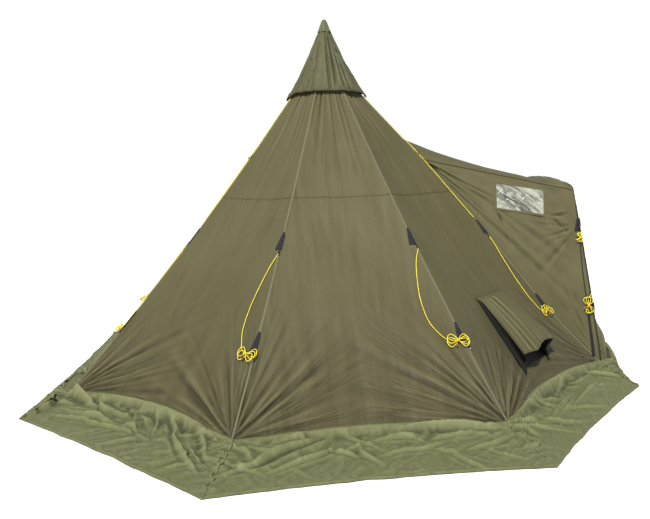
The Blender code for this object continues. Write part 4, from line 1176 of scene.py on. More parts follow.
def make_cords():
    for ridge in range(SIDES):
        guy_cord(f"guy_cord_{ridge + 1}", guy_cord_route(ridge))
    for node, side in (("porch_cord_near", -1), ("porch_cord_far", 1)):
        z = PATCH_BASES[0] - 0.016
        down, out, right = leg_axes(z, side)
        loops = tied_hank(leg_point(z, side) + out * 0.010 + right * 0.014, down, out, right, KNOT_LOBE)
        knot = sweep(f"bow_knot_{node}", smooth_route(loops, 260), yellow_cord, CORD_RADIUS, sides=10)
        fixed(knot)
        guy_cord(node, porch_cord_route(side), knot)
    for ridge in HOOD_CORD_RIDGES:
        hood_cord(ridge)


# Skirt


def skirt_corner(ridge):
    """A corner of the skirt. The one at the back that the camera's side hides lies drawn in."""
    ridge %= SIDES
    if ridge == SIDES - 1:
        return np.array([*TUCKED_CORNER, 0.0])
    x, y = SKIRT_CORNERS[min(ridge, SIDES - 1 - ridge)]
    return np.array([x, y if ridge < SIDES // 2 else -y, 0.0])


def flare(y, z):
    """How far the porch's front wall bells out near the ground, in a pouch beside each leg."""
    leg = leg_width(np.clip(z, 0.0, SHOULDER_Z))
    beside = smooth(np.abs(y), 0.50, 0.70) * smooth(leg - np.abs(y), 0.0, 0.060)
    low = np.clip(1.0 - z / POUCH_TOP_Z, 0.0, 1.0)
    return POUCH_DEPTH * low**2 / (low + 0.12) * beside


def skirt_foot(panel, across):
    """Where the skirt is sewn on: the hem of its panel, or the foot of the porch's front wall."""
    if panel != DOOR_PANEL:
        return panel_base(panel, hem_height(panel, across), across)
    y = mix(-LEG_Y, LEG_Y, across)
    z = np.full_like(y, DOOR_SILL_Z * 0.5)
    return np.stack([DOOR_X - WALL_LEAN * z + flare(y, z) - 0.012, y, z], -1)


def fold_line(across, depth, width, start, end, height, wide, bend):
    """A ridge of slack between two points (share across, metres out): steep outside, gentle inside."""
    (a0, d0), (a1, d1) = start, end
    x, run = (across - a0) * width, np.array([(a1 - a0) * width, d1 - d0])
    long = np.linalg.norm(run)
    along = (x * run[0] + (depth - d0) * run[1]) / long**2
    t = np.clip(along, 0.0, 1.0)
    off = ((depth - d0) * run[0] - x * run[1]) / long - bend * np.sin(math.pi * t)
    fade = np.sin(math.pi * (t * 0.92 + 0.04)) ** 0.7 * bell((along - t) * long, 0.03)
    crest = np.exp(-np.abs(off / np.where(off > 0, wide * 0.42, wide * 1.25)) ** 1.6)
    hollow = bell(off - wide, wide * 0.6)
    return height * fade * (crest - 0.45 * hollow)


def skirt_folds(panel, across, depth, width):
    """The folds of slack that the photograph shows, and chance ones elsewhere."""
    drawn = {
        0: (((0.01, 0.07), (0.20, 0.13), 0.095, 0.045), ((0.05, 0.02), (0.12, 0.10), 0.050, 0.025),
            ((0.02, 0.20), (0.48, 0.17), 0.026, 0.030),
            ((0.05, 0.27), (0.58, 0.28), 0.024, 0.026), ((0.10, 0.37), (0.62, 0.36), 0.020, 0.022),
            ((0.64, 0.03), (0.74, 0.24), 0.048, 0.030), ((0.73, 0.22), (0.93, 0.50), 0.046, 0.028),
            ((0.82, 0.03), (0.93, 0.34), 0.040, 0.050), ((0.56, 0.03), (0.62, 0.26), 0.022, 0.022),
            ((0.47, 0.04), (0.50, 0.22), 0.018, 0.020), ((0.38, 0.03), (0.41, 0.18), 0.014, 0.018),
            ((0.22, 0.06), (0.60, 0.07), 0.026, 0.024)),
        1: (((0.05, 0.47), (0.32, 0.05), 0.052, 0.030), ((0.17, 0.48), (0.36, 0.22), 0.032, 0.024),
            ((0.01, 0.08), (0.09, 0.30), 0.034, 0.026), ((0.02, 0.30), (0.12, 0.46), 0.024, 0.022),
            ((0.40, 0.05), (0.52, 0.28), 0.020, 0.024), ((0.36, 0.34), (0.50, 0.22), 0.018, 0.020),
            ((0.52, 0.36), (0.74, 0.22), 0.022, 0.028), ((0.60, 0.03), (0.97, 0.05), 0.044, 0.032),
            ((0.68, 0.16), (0.90, 0.13), 0.022, 0.026), ((0.80, 0.36), (0.96, 0.16), 0.026, 0.024),
            ((0.56, 0.10), (0.66, 0.20), 0.014, 0.018)),
        2: (((0.01, 0.05), (0.09, 0.34), 0.044, 0.030), ((0.05, 0.04), (0.20, 0.22), 0.036, 0.024),
            ((0.14, 0.02), (0.30, 0.12), 0.028, 0.022), ((0.24, 0.30), (0.55, 0.20), 0.024, 0.028),
            ((0.50, 0.36), (0.80, 0.28), 0.022, 0.024), ((0.45, 0.12), (0.74, 0.07), 0.024, 0.026),
            ((0.60, 0.08), (0.90, 0.14), 0.028, 0.026), ((0.84, 0.08), (0.96, 0.36), 0.036, 0.028)),
    }
    folds = list(drawn.get(panel, ()))
    draw = np.random.RandomState(300 + panel)
    for _ in range(8 if folds else 20):
        start = (draw.uniform(0.02, 0.95), draw.uniform(0.03, 0.38))
        turn, long = draw.uniform(-0.6, 1.5), draw.uniform(0.12, 0.45)
        end = (start[0] + long * math.cos(turn) / width, start[1] + long * math.sin(turn) * 0.7)
        folds.append((start, end, draw.uniform(0.010, 0.030), draw.uniform(0.016, 0.030)))
    waver = 0.035 * flat_clouds(across * width, depth, 0.22, 0.16, 350 + panel)
    relief = np.zeros(np.broadcast(across, depth).shape)
    for k, (start, end, height, wide) in enumerate(folds):
        relief += fold_line(across + waver / width, depth + waver, width, start, end, height, wide,
                            0.035 * math.sin(k * 2.3))
    return relief


def seam_route(ridge, share):
    """The gathered seam from a peg to its corner of the skirt, wandering and humped."""
    foot, corner = ridge_point(ridge, 0.03), skirt_corner(ridge)
    if ridge % SIDES in DOOR_RIDGES:
        foot = foot + unit(corner * [1, 1, 0] - foot * [1, 1, 0]) * 0.01
    route = mix(foot, corner, share[:, None])
    away = np.linalg.norm(route - foot, axis=1)
    side = unit(np.cross(corner - foot, (0.0, 0.0, 1.0)))
    wide, fine = (flat_clouds(away, away * 0, size, 1.0, seed + ridge % SIDES)
                  for size, seed in ((0.11, 60), (0.04, 70)))
    loose = np.sin(math.pi * share) ** 0.6
    rise = 0.026 * (1 - smooth(away, 0.0, 0.06)) + 0.004
    route[:, 2] = rise + (0.075 * np.abs(wide) + 0.022 * np.abs(fine)) * loose
    return route + side * ((0.055 * wide + 0.020 * fine) * loose)[:, None]


def skirt_start(panel):
    """A panel of the skirt before it settles: its smooth cut and the raised folds, with their distances."""
    share = np.linspace(0.0, 1.0, SKIRT_ROWS)[:, None]
    across = crowded(SKIRT_COLUMNS, 0.15)[None, :]
    outward = unit(ridge_direction(panel) + ridge_direction(panel + 1))
    foot = skirt_foot(panel, across[0]) + outward * 0.004
    bow = 4 * across[0] * (1 - across[0])
    bow = bow**2.2 if panel == DOOR_PANEL else bow
    edge = mix(skirt_corner(panel), skirt_corner(panel + 1), across[0][:, None])
    ripple = 0.014 * flat_clouds(across[0] * 2.3, across[0] * 0, 0.16, 1.0, 370 + panel) * bow
    edge = edge + outward * (SKIRT_BOW[panel] * bow + ripple)[:, None]
    base = foot[None] + (edge - foot)[None] * share[..., None]
    width = float(np.linalg.norm(foot[-1] - foot[0]))
    depth = share * np.linalg.norm(edge - foot, axis=-1)[None]
    calm = np.sin(math.pi * share) * np.sin(math.pi * across) ** 0.5
    swell = np.clip(0.5 + 0.9 * flat_clouds(across * width, depth, 0.42, 0.30, 390 + panel), 0.0, 1.0)
    base[..., 2] = foot[None, :, 2] * (1.0 - smooth(depth, 0.0, 0.085)) + 0.034 * calm * swell + 0.004
    along = unit(foot[-1] - foot[0])
    level = base * [1, 1, 0]
    relief = skirt_folds(panel, across, depth, width)
    for corner, toward, seed in ((foot[0], along, 400 + panel), (foot[-1], -along, 430 + panel)):
        relief += fan(corner * [1, 1, 0], toward, outward, level, seed, 14, (-8.0, 96.0), 0.020, 0.30,
                      (2.4, 5.5))
    relief += pleats(across, depth, 460 + panel, 26, (0.02, 0.98), 0.010, 0.20, (0.006, 0.012))
    relief += 0.008 * flat_clouds(across * width, depth, 0.19, 0.12, 25 + panel)
    near_end = np.minimum(across, 1 - across) * width
    relief = relief * smooth(near_end, 0.0, 0.03) * smooth(depth, 0.0, 0.03)
    relief = relief * (1.0 - smooth(share, 0.93, 1.0))
    folded = base.copy()
    folded[..., 2] = np.maximum(folded[..., 2] + relief, 0.003)
    for column, ridge in ((0, panel), (-1, panel + 1)):
        shift = seam_route(ridge, share[:, 0]) - folded[:, column]
        close = np.clip(1.0 - np.abs(across - across[:, [column]]) * width / 0.12, 0.0, 1.0) ** 2
        folded += shift[:, None] * close[..., None]
    seam = np.minimum(near_end, np.minimum(depth, depth[-1:] - depth))
    return base, folded, seam


def settle_cloth(grids):
    """Lets slack sheets sink to the floor under their weight, held along their seams."""
    scene = bpy.context.scene
    ground = bpy.data.meshes.new("ground")
    ground.from_pydata([(-9, -9, 0), (9, -9, 0), (9, 9, 0), (-9, 9, 0)], [], [(0, 1, 2, 3)])
    ground = link(bpy.data.objects.new("ground", ground))
    ground.modifiers.new("ground", "COLLISION")
    ground.collision.thickness_outer = 0.003
    slack = []
    for k, points in enumerate(grids):
        rows, columns = points.shape[:2]
        uv = np.zeros((rows, columns, 2))
        obj = sheet_mesh(f"slack_{k}", points, uv, skirt_cloth)
        held = obj.vertex_groups.new(name="held")
        order = np.arange(rows * columns).reshape(rows, columns)
        held.add(np.concatenate([order[0], order[:, 0], order[:, -1]]).tolist(), 1.0, "REPLACE")
        held.add(order[-1, 1:-1].tolist(), 0.7, "REPLACE")
        cloth = obj.modifiers.new("slack", "CLOTH").settings
        cloth.quality, cloth.mass, cloth.air_damping = 6, 0.15, 3.0
        cloth.tension_stiffness = cloth.compression_stiffness = 20.0
        cloth.shear_stiffness, cloth.bending_stiffness = 8.0, 0.6
        cloth.vertex_group_mass, cloth.pin_stiffness = "held", 1.0
        cloth.shrink_min, cloth.effector_weights.gravity = -0.025, 0.5
        obj.modifiers["slack"].collision_settings.distance_min = 0.003
        slack.append(obj)
    for moment in range(1, SKIRT_FRAMES + 1):
        scene.frame_set(moment)
    graph = bpy.context.evaluated_depsgraph_get()
    settled = []
    for obj, points in zip(slack, grids):
        flat = np.empty(points.size)
        obj.evaluated_get(graph).data.vertices.foreach_get("co", flat)
        settled.append(flat.reshape(points.shape))
    for obj in (*slack, ground):
        bpy.data.objects.remove(obj)
    scene.frame_set(1)
    return settled


def make_skirt():
    """The strip that lies slack on the ground all round, settled as cloth, with its folded edge."""
    starts = [skirt_start(panel) for panel in range(SIDES)]
    settled = settle_cloth([folded for _, folded, _ in starts])
    for panel, ((base, _, seam), points) in enumerate(zip(starts, settled)):
        for axis in (0, 1):
            base, points = finer(base, axis), finer(points, axis)
            seam = finer(seam, axis)
        wide, deep = arc(base, 1), arc(base, 0)
        slant = wide + 0.6 * deep
        creases = crumple(slant, deep * 0.35, 0.15, 390 + panel)
        creases = creases + 0.35 * crumple(slant * 1.3, deep, 0.07, 410 + panel)
        points[..., 2] += 0.0065 * creases * smooth(seam, 0.01, 0.05) * smooth(deep[-1:] - deep, 0.0, 0.03)
        name = "door_skirt" if panel == DOOR_PANEL else f"snow_skirt_{panel + 1}"
        sewn(f"sewn_{name}", base, points[..., 2], skirt_cloth, "tent", [name], "skirt_cloth", "laid",
             (0.0, 0.0, 1.0), seam=seam, tall=float(arc(base, 0)[-1].mean()), shaped=points,
             deep=SKIRT_FOLD_DEPTH)
        outward = unit(ridge_direction(panel) + ridge_direction(panel + 1))
        turned = np.stack([points[0] - outward * far - np.array([0, 0, far * 0.1])
                           for far in (0.0, 0.018, 0.038)])
        uv = np.stack(np.broadcast_arrays(arc(turned, 1), arc(turned, 0)), -1)
        facing = sheet_mesh(f"skirt_seam_allowance_{panel + 1}", turned, uv, skirt_cloth)
        fixed(thicken(facing, 0.0008))
        hem = sweep(f"skirt_edge_{panel + 1}", points[-1] + np.array([0, 0, 0.0018]), skirt_cloth, 0.006,
                    0.0018, across=outward, sides=8, square=3.0)
        fixed(hem)


def make_skirt_seams():
    """The puckered rib along each gathered seam."""
    share = np.linspace(0.0, 1.0, 120)
    for ridge in range(SIDES):
        route = seam_route(ridge, share) + np.array([0.0, 0.0, 0.002])
        away = np.linalg.norm(route - route[0], axis=1)
        side = unit(np.cross(skirt_corner(ridge) - route[0], (0.0, 0.0, 1.0)))
        pucker = 0.0040 + 0.0030 * np.abs(flat_clouds(away, away * 0, 0.014, 1.0, 80 + ridge))
        made = sweep(f"skirt_seam_{ridge + 1}", route, skirt_cloth, pucker * 1.6, pucker, across=side,
                     sides=10)
        fixed(made)


# Porch


def arch_head(angle):
    """The arch above the shoulders as (y, z), from the near shoulder at angle 0 to the far one."""
    rise = (ARCH_TOP_Z - SHOULDER_Z) * np.clip(np.sin(angle), 0.0, 1.0) ** 0.8
    return np.stack([-SHOULDER_Y * np.cos(angle), SHOULDER_Z + rise], -1)


def arch_outline(share, inset=0.0):
    """Points of the porch's front edge, from the near foot over the top to the far foot, as (y, z) rows."""
    z = np.linspace(WALL_FOOT_Z, SHOULDER_Z, 40)
    y = leg_width(z)
    head = arch_head(np.linspace(0.0, math.pi, 60)[1:-1])
    at = spaced(np.vstack([np.stack([-y, z], -1), head, np.stack([y, z], -1)[::-1]]), share)
    if inset:
        turn = heading(at)
        at = at + np.stack([turn[:, 1], -turn[:, 0]], -1) * inset
    return at


def doorway_outline(share, grow=0.0):
    """The doorway's edge, from the near sill over its round head to the far sill, as (y, z) rows."""
    half = DOOR_HALF_WIDTH + grow
    angle = np.linspace(0.0, math.pi, 60)
    rise = (DOOR_TOP_Z + grow - DOOR_SPRING_Z) * np.sin(angle)
    head = np.stack([-half * np.cos(angle), DOOR_SPRING_Z + rise], -1)
    return spaced(np.vstack([[(-half, WALL_FOOT_Z)], head, [(half, WALL_FOOT_Z)]]), share)


def front_point(at, lift=0.0):
    """The front wall's point at (y, z) rows."""
    y, z = at[..., 0], at[..., 1]
    return np.stack([DOOR_X - 0.004 - WALL_LEAN * z + flare(y, z) + lift, y, z], -1)


def make_front_wall():
    """The porch's front wall round the doorway, with pulled folds and the pleated pouch beside each leg."""
    around = np.linspace(0.0, 1.0, 260)
    inner, outer = doorway_outline(around), arch_outline(around, 0.003)
    share = crowded(150, 0.45)[:, None, None]
    at = mix(outer[None], inner[None], share)
    base = front_point(at)
    gap = np.linalg.norm(at - outer[None], axis=-1)
    relief = 0.004 * flat_clouds(at[..., 0], at[..., 1], 0.10, 0.4, 33)
    low = np.clip(1.0 - at[..., 1] / 0.45, 0.0, 1.0)
    run = arc(base, 0)
    ribs = np.cos(run * 68.0 + 4.0 * flat_clouds(run, at[..., 1], 0.12, 0.4, 35) + 0.4)
    ribs = 0.3 - np.abs(ribs) ** 3 * 1.6 + 0.6 * flat_clouds(run, at[..., 1], 0.030, 0.5, 37)
    relief += 0.022 * ribs * low**0.5 * smooth(gap, 0.0, 0.010) * (1 - smooth(gap, 0.12, 0.24))
    relief += pleats(around[None], gap, 36, 40, (0.02, 0.98), 0.003, 0.22, (0.003, 0.008))
    edge = np.minimum(share[..., 0], 1 - share[..., 0])
    relief = relief * smooth(edge * 0.3, 0.0, 0.008)
    sewn("sewn_porch_front_wall", base, relief, porch_cloth, "tent", ["porch_front_wall"], "canopy_cloth",
         "hung", (1.0, 0.0, 0.0), seam=gap, deep=0.006)


def make_roof():
    """The vault from its valley on the cone to the arch."""
    span = np.linspace(-1.0, 1.0, 120)[None, :]
    share = crowded(90, 0.3)[:, None]
    across = 0.5 + 0.5 * span
    height = valley_height(across)
    back = panel_base(DOOR_PANEL, height, across)
    y, z = np.moveaxis(arch_head(math.pi * across), -1, 0)
    front = np.stack([DOOR_X - WALL_LEAN * z, y, z], -1)
    base = back + (front - back) * share[..., None]
    base[..., 2] -= 4 * ROOF_SAG * share * (1 - share) * (1 - span**2)
    away = share * np.linalg.norm(front - back, axis=-1)
    flat = np.broadcast_to(across, away.shape)
    relief = pleats(flat, away, 501, 26, (0.03, 0.97), 0.0050, 0.8, (0.010, 0.03))
    relief += pleats(flat, away[-1:] - away, 502, 22, (0.03, 0.97), 0.0030, 0.3, (0.008, 0.02))
    relief += 0.006 * clouds(base, 0.35, 51) + 0.0025 * clouds(base, 0.12, 52)
    pole = np.linalg.norm(front - back, axis=-1) - away
    edge = np.minimum(across, 1 - across) * 0.9
    relief = np.clip(relief, -0.016, 0.006)
    hump = 0.024 * bell(pole - 0.085, 0.055) - 0.010 * bell(pole - 0.26, 0.07)
    relief += hump * smooth(pole, 0.0, 0.05) * (1 - np.abs(span) ** 3)
    relief = relief * smooth(edge, 0.0, 0.02) * smooth(share, 0.0, 0.02)
    sewn("sewn_porch_roof", base, relief, porch_cloth, "tent", ["porch_roof"], "canopy_cloth", "stretched",
         (0.0, 0.0, 1.0), seam=np.minimum(np.minimum(edge, away), pole))


def wall_rows(side, share, heights):
    back = ridge_point(door_ridge(side), heights)
    front = np.array([wall_front(z, side) for z in heights])
    return back[:, None] + (front - back)[:, None] * share[None, :, None]


def wall_relief(side, points, run, share):
    """Folds of a side wall: pulled from the window's corners, the upper patch, the eaves and the peg."""
    x, z = points[..., 0], points[..., 2]
    right, up = np.array([1.0, 0.0, 0.0]), np.array([0.0, 0.0, 1.0])
    flat = points * [1, 0, 1]
    patch = leg_point(1.12, side) * [1, 0, 1]
    relief = fan(patch, -right, up, flat, 601, 14, (-60.0, 55.0), 0.0085, 0.60, (1.4, 3.6))
    for seed, corner, count, spread, tall, far in (
            (603, (1.36, 0, 1.29), 8, (15.0, 80.0), 0.0075, 0.42),
            (604, (1.80, 0, 1.22), 7, (-5.0, 60.0), 0.0085, 0.38)):
        relief += fan(np.array(corner), right, -up, flat, seed, count, spread, tall, far, (1.8, 4.5))
    valley = ridge_point(door_ridge(side), VALLEY_SIDE_Z) * [1, 0, 1]
    relief += fan(valley, right, -up, flat, 605, 16, (30.0, 58.0), 0.0095, 1.25, (0.6, 2.0))
    foot = leg_point(0.02, side) * [1, 0, 1]
    relief += fan(foot, -right, up, flat, 606, 18, (3.0, 85.0), 0.0085, 0.8, (1.2, 3.0))
    relief += 0.008 * clouds(points, 0.40, 61) + 0.0028 * clouds(points, 0.12, 62)
    diagonal = (x - 0.2) * 0.62 + z * 0.78
    relief += 0.0040 * flat_clouds(diagonal, x - z, 0.07, 0.55, 63) * smooth(run * share, 0.05, 0.25)
    edge = run * np.minimum(share, 1 - share)
    calm = mix(0.12, 1.0, smooth(run * (1 - share), 0.055, 0.13))
    return np.clip(relief, -0.020, 0.009) * smooth(edge, 0.0, 0.03) * calm


def window_grid(columns, rows, grow=0.0):
    """Points of the window as (x, z), grown past its edge."""
    a, b, c, d = (np.array(corner) for corner in WINDOW)
    wide, tall = WINDOW_SIZE
    u = np.linspace(-grow / wide, 1 + grow / wide, columns)[None, :, None]
    v = np.linspace(-grow / tall, 1 + grow / tall, rows)[:, None, None]
    return mix(mix(a, b, u), mix(d, c, u), v)


def make_side_walls():
    """The porch's two side walls, each with its folds and the window in its opening."""
    for side, label in ((-1, "near"), (1, "far")):
        heights = np.linspace(0.004, VALLEY_SIDE_Z - 0.001, 150)
        share = crowded(110, 0.35)
        base = wall_rows(side, share, heights)
        run = np.linalg.norm(base[:, -1] - base[:, 0], axis=-1)[:, None]
        relief = wall_relief(side, base, run, share[None])
        off_x, off_z = base[..., 0] - WINDOW_MIDDLE[0], base[..., 2] - WINDOW_MIDDLE[1]
        near_window = np.abs(off_x) / 0.26 + np.abs(off_z) / 0.20
        relief *= mix(0.25, 1.0, smooth(near_window, 0.9, 1.45))
        seam = run * np.minimum(share, 1 - share)[None]
        wall = sewn(f"sewn_porch_side_{label}", base, relief, porch_cloth, "tent", [f"porch_side_{label}"],
                    "canopy_cloth", "stretched", (0.0, side, 0.0), seam=seam)
        corners = window_grid(2, 2, -WINDOW_LAP).reshape(4, 2)[[0, 1, 3, 2]]
        hole = [wall_point(x, z, side) for x, z in corners]
        out = np.array([0.0, 0.06 * side, 0.0])
        cut_hole(wall, [p + out for p in hole], [p - out for p in hole])
        make_window(side, label)


def make_window(side, label):
    """A creased clear pane in a stitched frame of cloth."""
    grid = window_grid(90, 60)
    base = np.array([[wall_point(x, z, side) + wall_normal(x, z, side) * 0.0022 for x, z in row]
                     for row in grid])
    wide, tall = WINDOW_SIZE
    u, v = np.linspace(0, 1, 90)[None, :], np.linspace(0, 1, 60)[:, None]
    inside = smooth(np.minimum(np.minimum(u, 1 - u) * wide, np.minimum(v, 1 - v) * tall), 0.0, 0.03)
    slant = u * wide * 0.75 - v * tall * 0.66
    relief = 0.0045 * flat_clouds(slant, u * wide + v * tall, 0.030, 0.16, 71 + side) * inside
    relief += 0.0020 * crumple(u * wide, v * tall, 0.05, 72 + side) * inside
    sewn(f"clear_window_{label}", base, relief, clear_pane, "tent", [f"window_{label}"], "clear_pane",
         "stretched", (0.0, side, 0.0), thickness=0.0008)
    level, upright = window_grid(30, 2), window_grid(2, 20)[1:-1]
    edge = [*level[0], *upright[:, 1], *level[-1][::-1], *upright[:, 0][::-1]]
    normals = np.array([wall_normal(x, z, side) for x, z in edge])
    route = np.array([wall_point(x, z, side) for x, z in edge]) + normals * 0.0030
    frame_edge = sweep(f"window_frame_{label}", route, porch_cloth, 0.0095, 0.0014,
                       across=np.cross(heading(route, True), normals), sides=10, square=3.4, closed=True)
    fixed(frame_edge)


def rib(name, route, across, half_width, half_thick, material, body="tent"):
    """A sewn rib or tape along a route."""
    made = sweep(name, route, material, half_width, half_thick, across=across, sides=10, square=2.8)
    return fixed(made, body)


def make_leg_webbing(side, label):
    """The black binding, strap and guy-out patches of one porch leg."""
    legs = np.linspace(1.30, 0.03, 110)
    route = np.array([leg_point(z, side) for z in legs]) + np.array([0.004, side * 0.003, 0.0])
    rib(f"leg_binding_{label}", route, (0.8, side * -0.6, 0.0), 0.0085, 0.0022, black_webbing)
    legs = np.linspace(PATCH_BASES[0], 0.06, 110)
    aside = np.interp(legs, (0.06, 0.43, 0.75, PATCH_BASES[0]), (0.046, 0.040, 0.034, 0.012))
    route = [wall_point(leg_point(z, side)[0] - far, z, side) for z, far in zip(legs, aside)]
    out = wall_normal(2.0, 0.4, side)
    strap = np.interp(legs, (0.06, 0.40, 0.45, 1.0), (0.014, 0.010, 0.0045, 0.0040))
    rib(f"leg_strap_{label}", np.array(route) + out * 0.0030, (1.0, 0.0, 0.0), strap, 0.0022,
        black_webbing)
    for tip, base in zip(PATCH_TIPS, PATCH_BASES):
        rows = np.linspace(tip, base + PATCH_TAB, 14)
        reach = mix(0.003, PATCH_WIDTH, np.linspace(0.0, 1.0, 14) ** 0.9)
        points = np.array([[wall_point(leg_point(z, side)[0] - far * share, z, side)
                            + wall_normal(leg_point(z, side)[0] - far * share, z, side) * 0.0026
                            for share in np.linspace(-0.02, 1.0, 8)] for z, far in zip(rows, reach)])
        uv = np.stack(np.broadcast_arrays(arc(points, 1), arc(points, 0)[:, :1]), -1)
        patch = sheet_mesh(f"wall_patch_{label}_{round(tip * 100)}", points, uv, black_webbing, side < 0)
        fixed(thicken(patch, 0.0008))
    for z in LEG_PATCH_Z:
        centre = leg_point(z, side)
        route = [centre + np.array([0.004, side * far, rise]) for far, rise in LEG_PATCH]
        wide = np.interp(np.arange(6), (0, 3, 5), (0.006, 0.020, 0.016))
        rib(f"leg_patch_{label}_{round(z * 100)}", smooth_route(route, 24), (0.75, side * -0.66, 0.0),
            np.interp(np.linspace(0, 5, 24), np.arange(6), wide), 0.0022, black_webbing)


def make_porch_seams():
    """Ribs over the roof's seams, over its valley on the cone and along the arch, and the legs' webbing."""
    around = np.linspace(0.0, 1.0, 200)
    at = arch_outline(around)
    edge = front_point(at)
    edge[:, 0] = DOOR_X - WALL_LEAN * at[:, 1] + 0.002
    rib("arch_binding", edge, (1.0, 0.0, WALL_LEAN), 0.0075, 0.0030, olive_seam)
    for side, label in ((-1, "near"), (1, "far")):
        heights = np.linspace(SHOULDER_Z - 0.01, VALLEY_SIDE_Z, 70)
        route = np.array([wall_front(z, side) for z in heights])
        rib(f"roof_seam_{label}", route + np.array([0.0, side * 0.001, 0.001]), (0.0, 0.6, side * 0.8),
            0.0065, 0.0020, olive_seam)
        make_leg_webbing(side, label)
    across = np.linspace(0.0, 1.0, 120)
    height = valley_height(across)
    valley = panel_base(DOOR_PANEL, height, across) + panel_normal(DOOR_PANEL) * 0.001
    rib("roof_valley_seam", valley, (0.0, 0.2, 1.0), 0.0060, 0.0018, olive_seam)


# Door


def zip_rib(name, share, grow, lift, half_width, half_thick, material, body):
    """A tape or a coil of the zip, on the wall's face round the doorway."""
    at = doorway_outline(share, grow)
    at = at[at[:, 1] >= DOOR_SILL_Z]
    route = front_point(at, lift)
    route[:, 0] -= flare(at[:, 0], at[:, 1])
    across = np.cross(heading(route), (1.0, 0.0, WALL_LEAN))
    rib(name, route, across, half_width, half_thick, material, body)


def make_door():
    """The door cloth with its folds, a zip tape round it and the matching tape on the wall."""
    half = DOOR_HALF_WIDTH - DOOR_GAP
    u, v = np.linspace(-1, 1, 110)[None, :], np.linspace(0, 1, 130)[:, None]
    y = half * u + v * 0
    head = DOOR_SPRING_Z + (DOOR_TOP_Z - DOOR_GAP - DOOR_SPRING_Z) * np.sqrt(np.clip(1 - u**2, 0, 1))
    z = mix(DOOR_SILL_Z, head - 0.004, v)
    calm = np.sin(math.pi * (u + 1) / 2) * np.sin(math.pi * (0.1 + 0.8 * v))
    x = DOOR_X - WALL_LEAN * z - 0.003 + 0.008 * calm * np.sin(y * 22.0)
    base = np.stack([x, y, z], -1)
    edge = half * (1 - np.abs(u)) + v * 0
    relief = 0.006 * flat_clouds(y, z, 0.07, 0.45, 81) + 0.003 * flat_clouds(y, z, 0.03, 0.2, 82)
    relief += 0.0012 * crumple(y, z, 0.16, 83)
    relief = np.clip(relief, -0.010, 0.006) * smooth(edge, 0.0, 0.05) * smooth(1 - v, 0.0, 0.06)
    sewn("sewn_door_panel", base, relief, porch_cloth, "door", ["door_panel"], "canopy_cloth", "hung",
         (1.0, 0.0, 0.0), seam=np.minimum(edge, (1 - v) * 1.2))
    around = np.linspace(0.0, 1.0, 200)
    zipped = around[around <= ZIP_END]
    for label, body, taped, tape_grow, coil_grow in (("door", "door", zipped, -0.012, -0.0035),
                                                     ("wall", "tent", around, 0.010, 0.0005)):
        zip_rib(f"zip_tape_{label}", taped, tape_grow, 0.0045, 0.0085, 0.0011, black_webbing,
                body)
        zip_rib(f"zip_coil_{label}", zipped, coil_grow, 0.0052, 0.0018, 0.0014, black_moulding,
                body)


# Low vents


def make_gussets(panel, label, awning_point):
    """The black cloth at both sides of an awning, from its edge in to the panel."""
    top, along, out, down = vent_place(panel)
    for turn, where in ((-1, "left"), (1, "right")):
        share_in, drop = np.linspace(0, 1, 40)[None, :], np.linspace(0, 1, 26)[:, None]
        upper = awning_point(np.linspace(0.02, 1.0, 40), np.full(40, turn * 0.995))
        aside = turn * VENT_TOP_WIDTH / 2
        foot = top + down * GUSSET_LENGTH + along * (aside * 1.10 - GUSSET_PULL)
        start = top + along * turn * VENT_TOP_WIDTH / 2 * 0.99
        line = mix(start, foot, np.linspace(0.02, 1.0, 40)[:, None])
        lower = on_panel(panel, line, 0.0035)
        gusset = mix(upper[None], lower[None], drop[..., None])
        slack = mix(0.030, 0.095, share_in**2) if turn > 0 else 0.030 * share_in
        gusset = gusset - along * (turn * slack * np.sin(math.pi * drop) * share_in)[..., None]
        folds = 0.004 * flat_clouds(drop * 0.2, share_in * 0.5, 0.05, 0.25, 77) * np.sin(math.pi * drop)
        made = sewn(f"awning_gusset_{label}_{where}", gusset, folds, black_cloth_and_shade, "tent", [],
                    "black_webbing", "hung", along * turn, thickness=0.0008)
        tuple(top + out * 0.004)
        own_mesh(made)


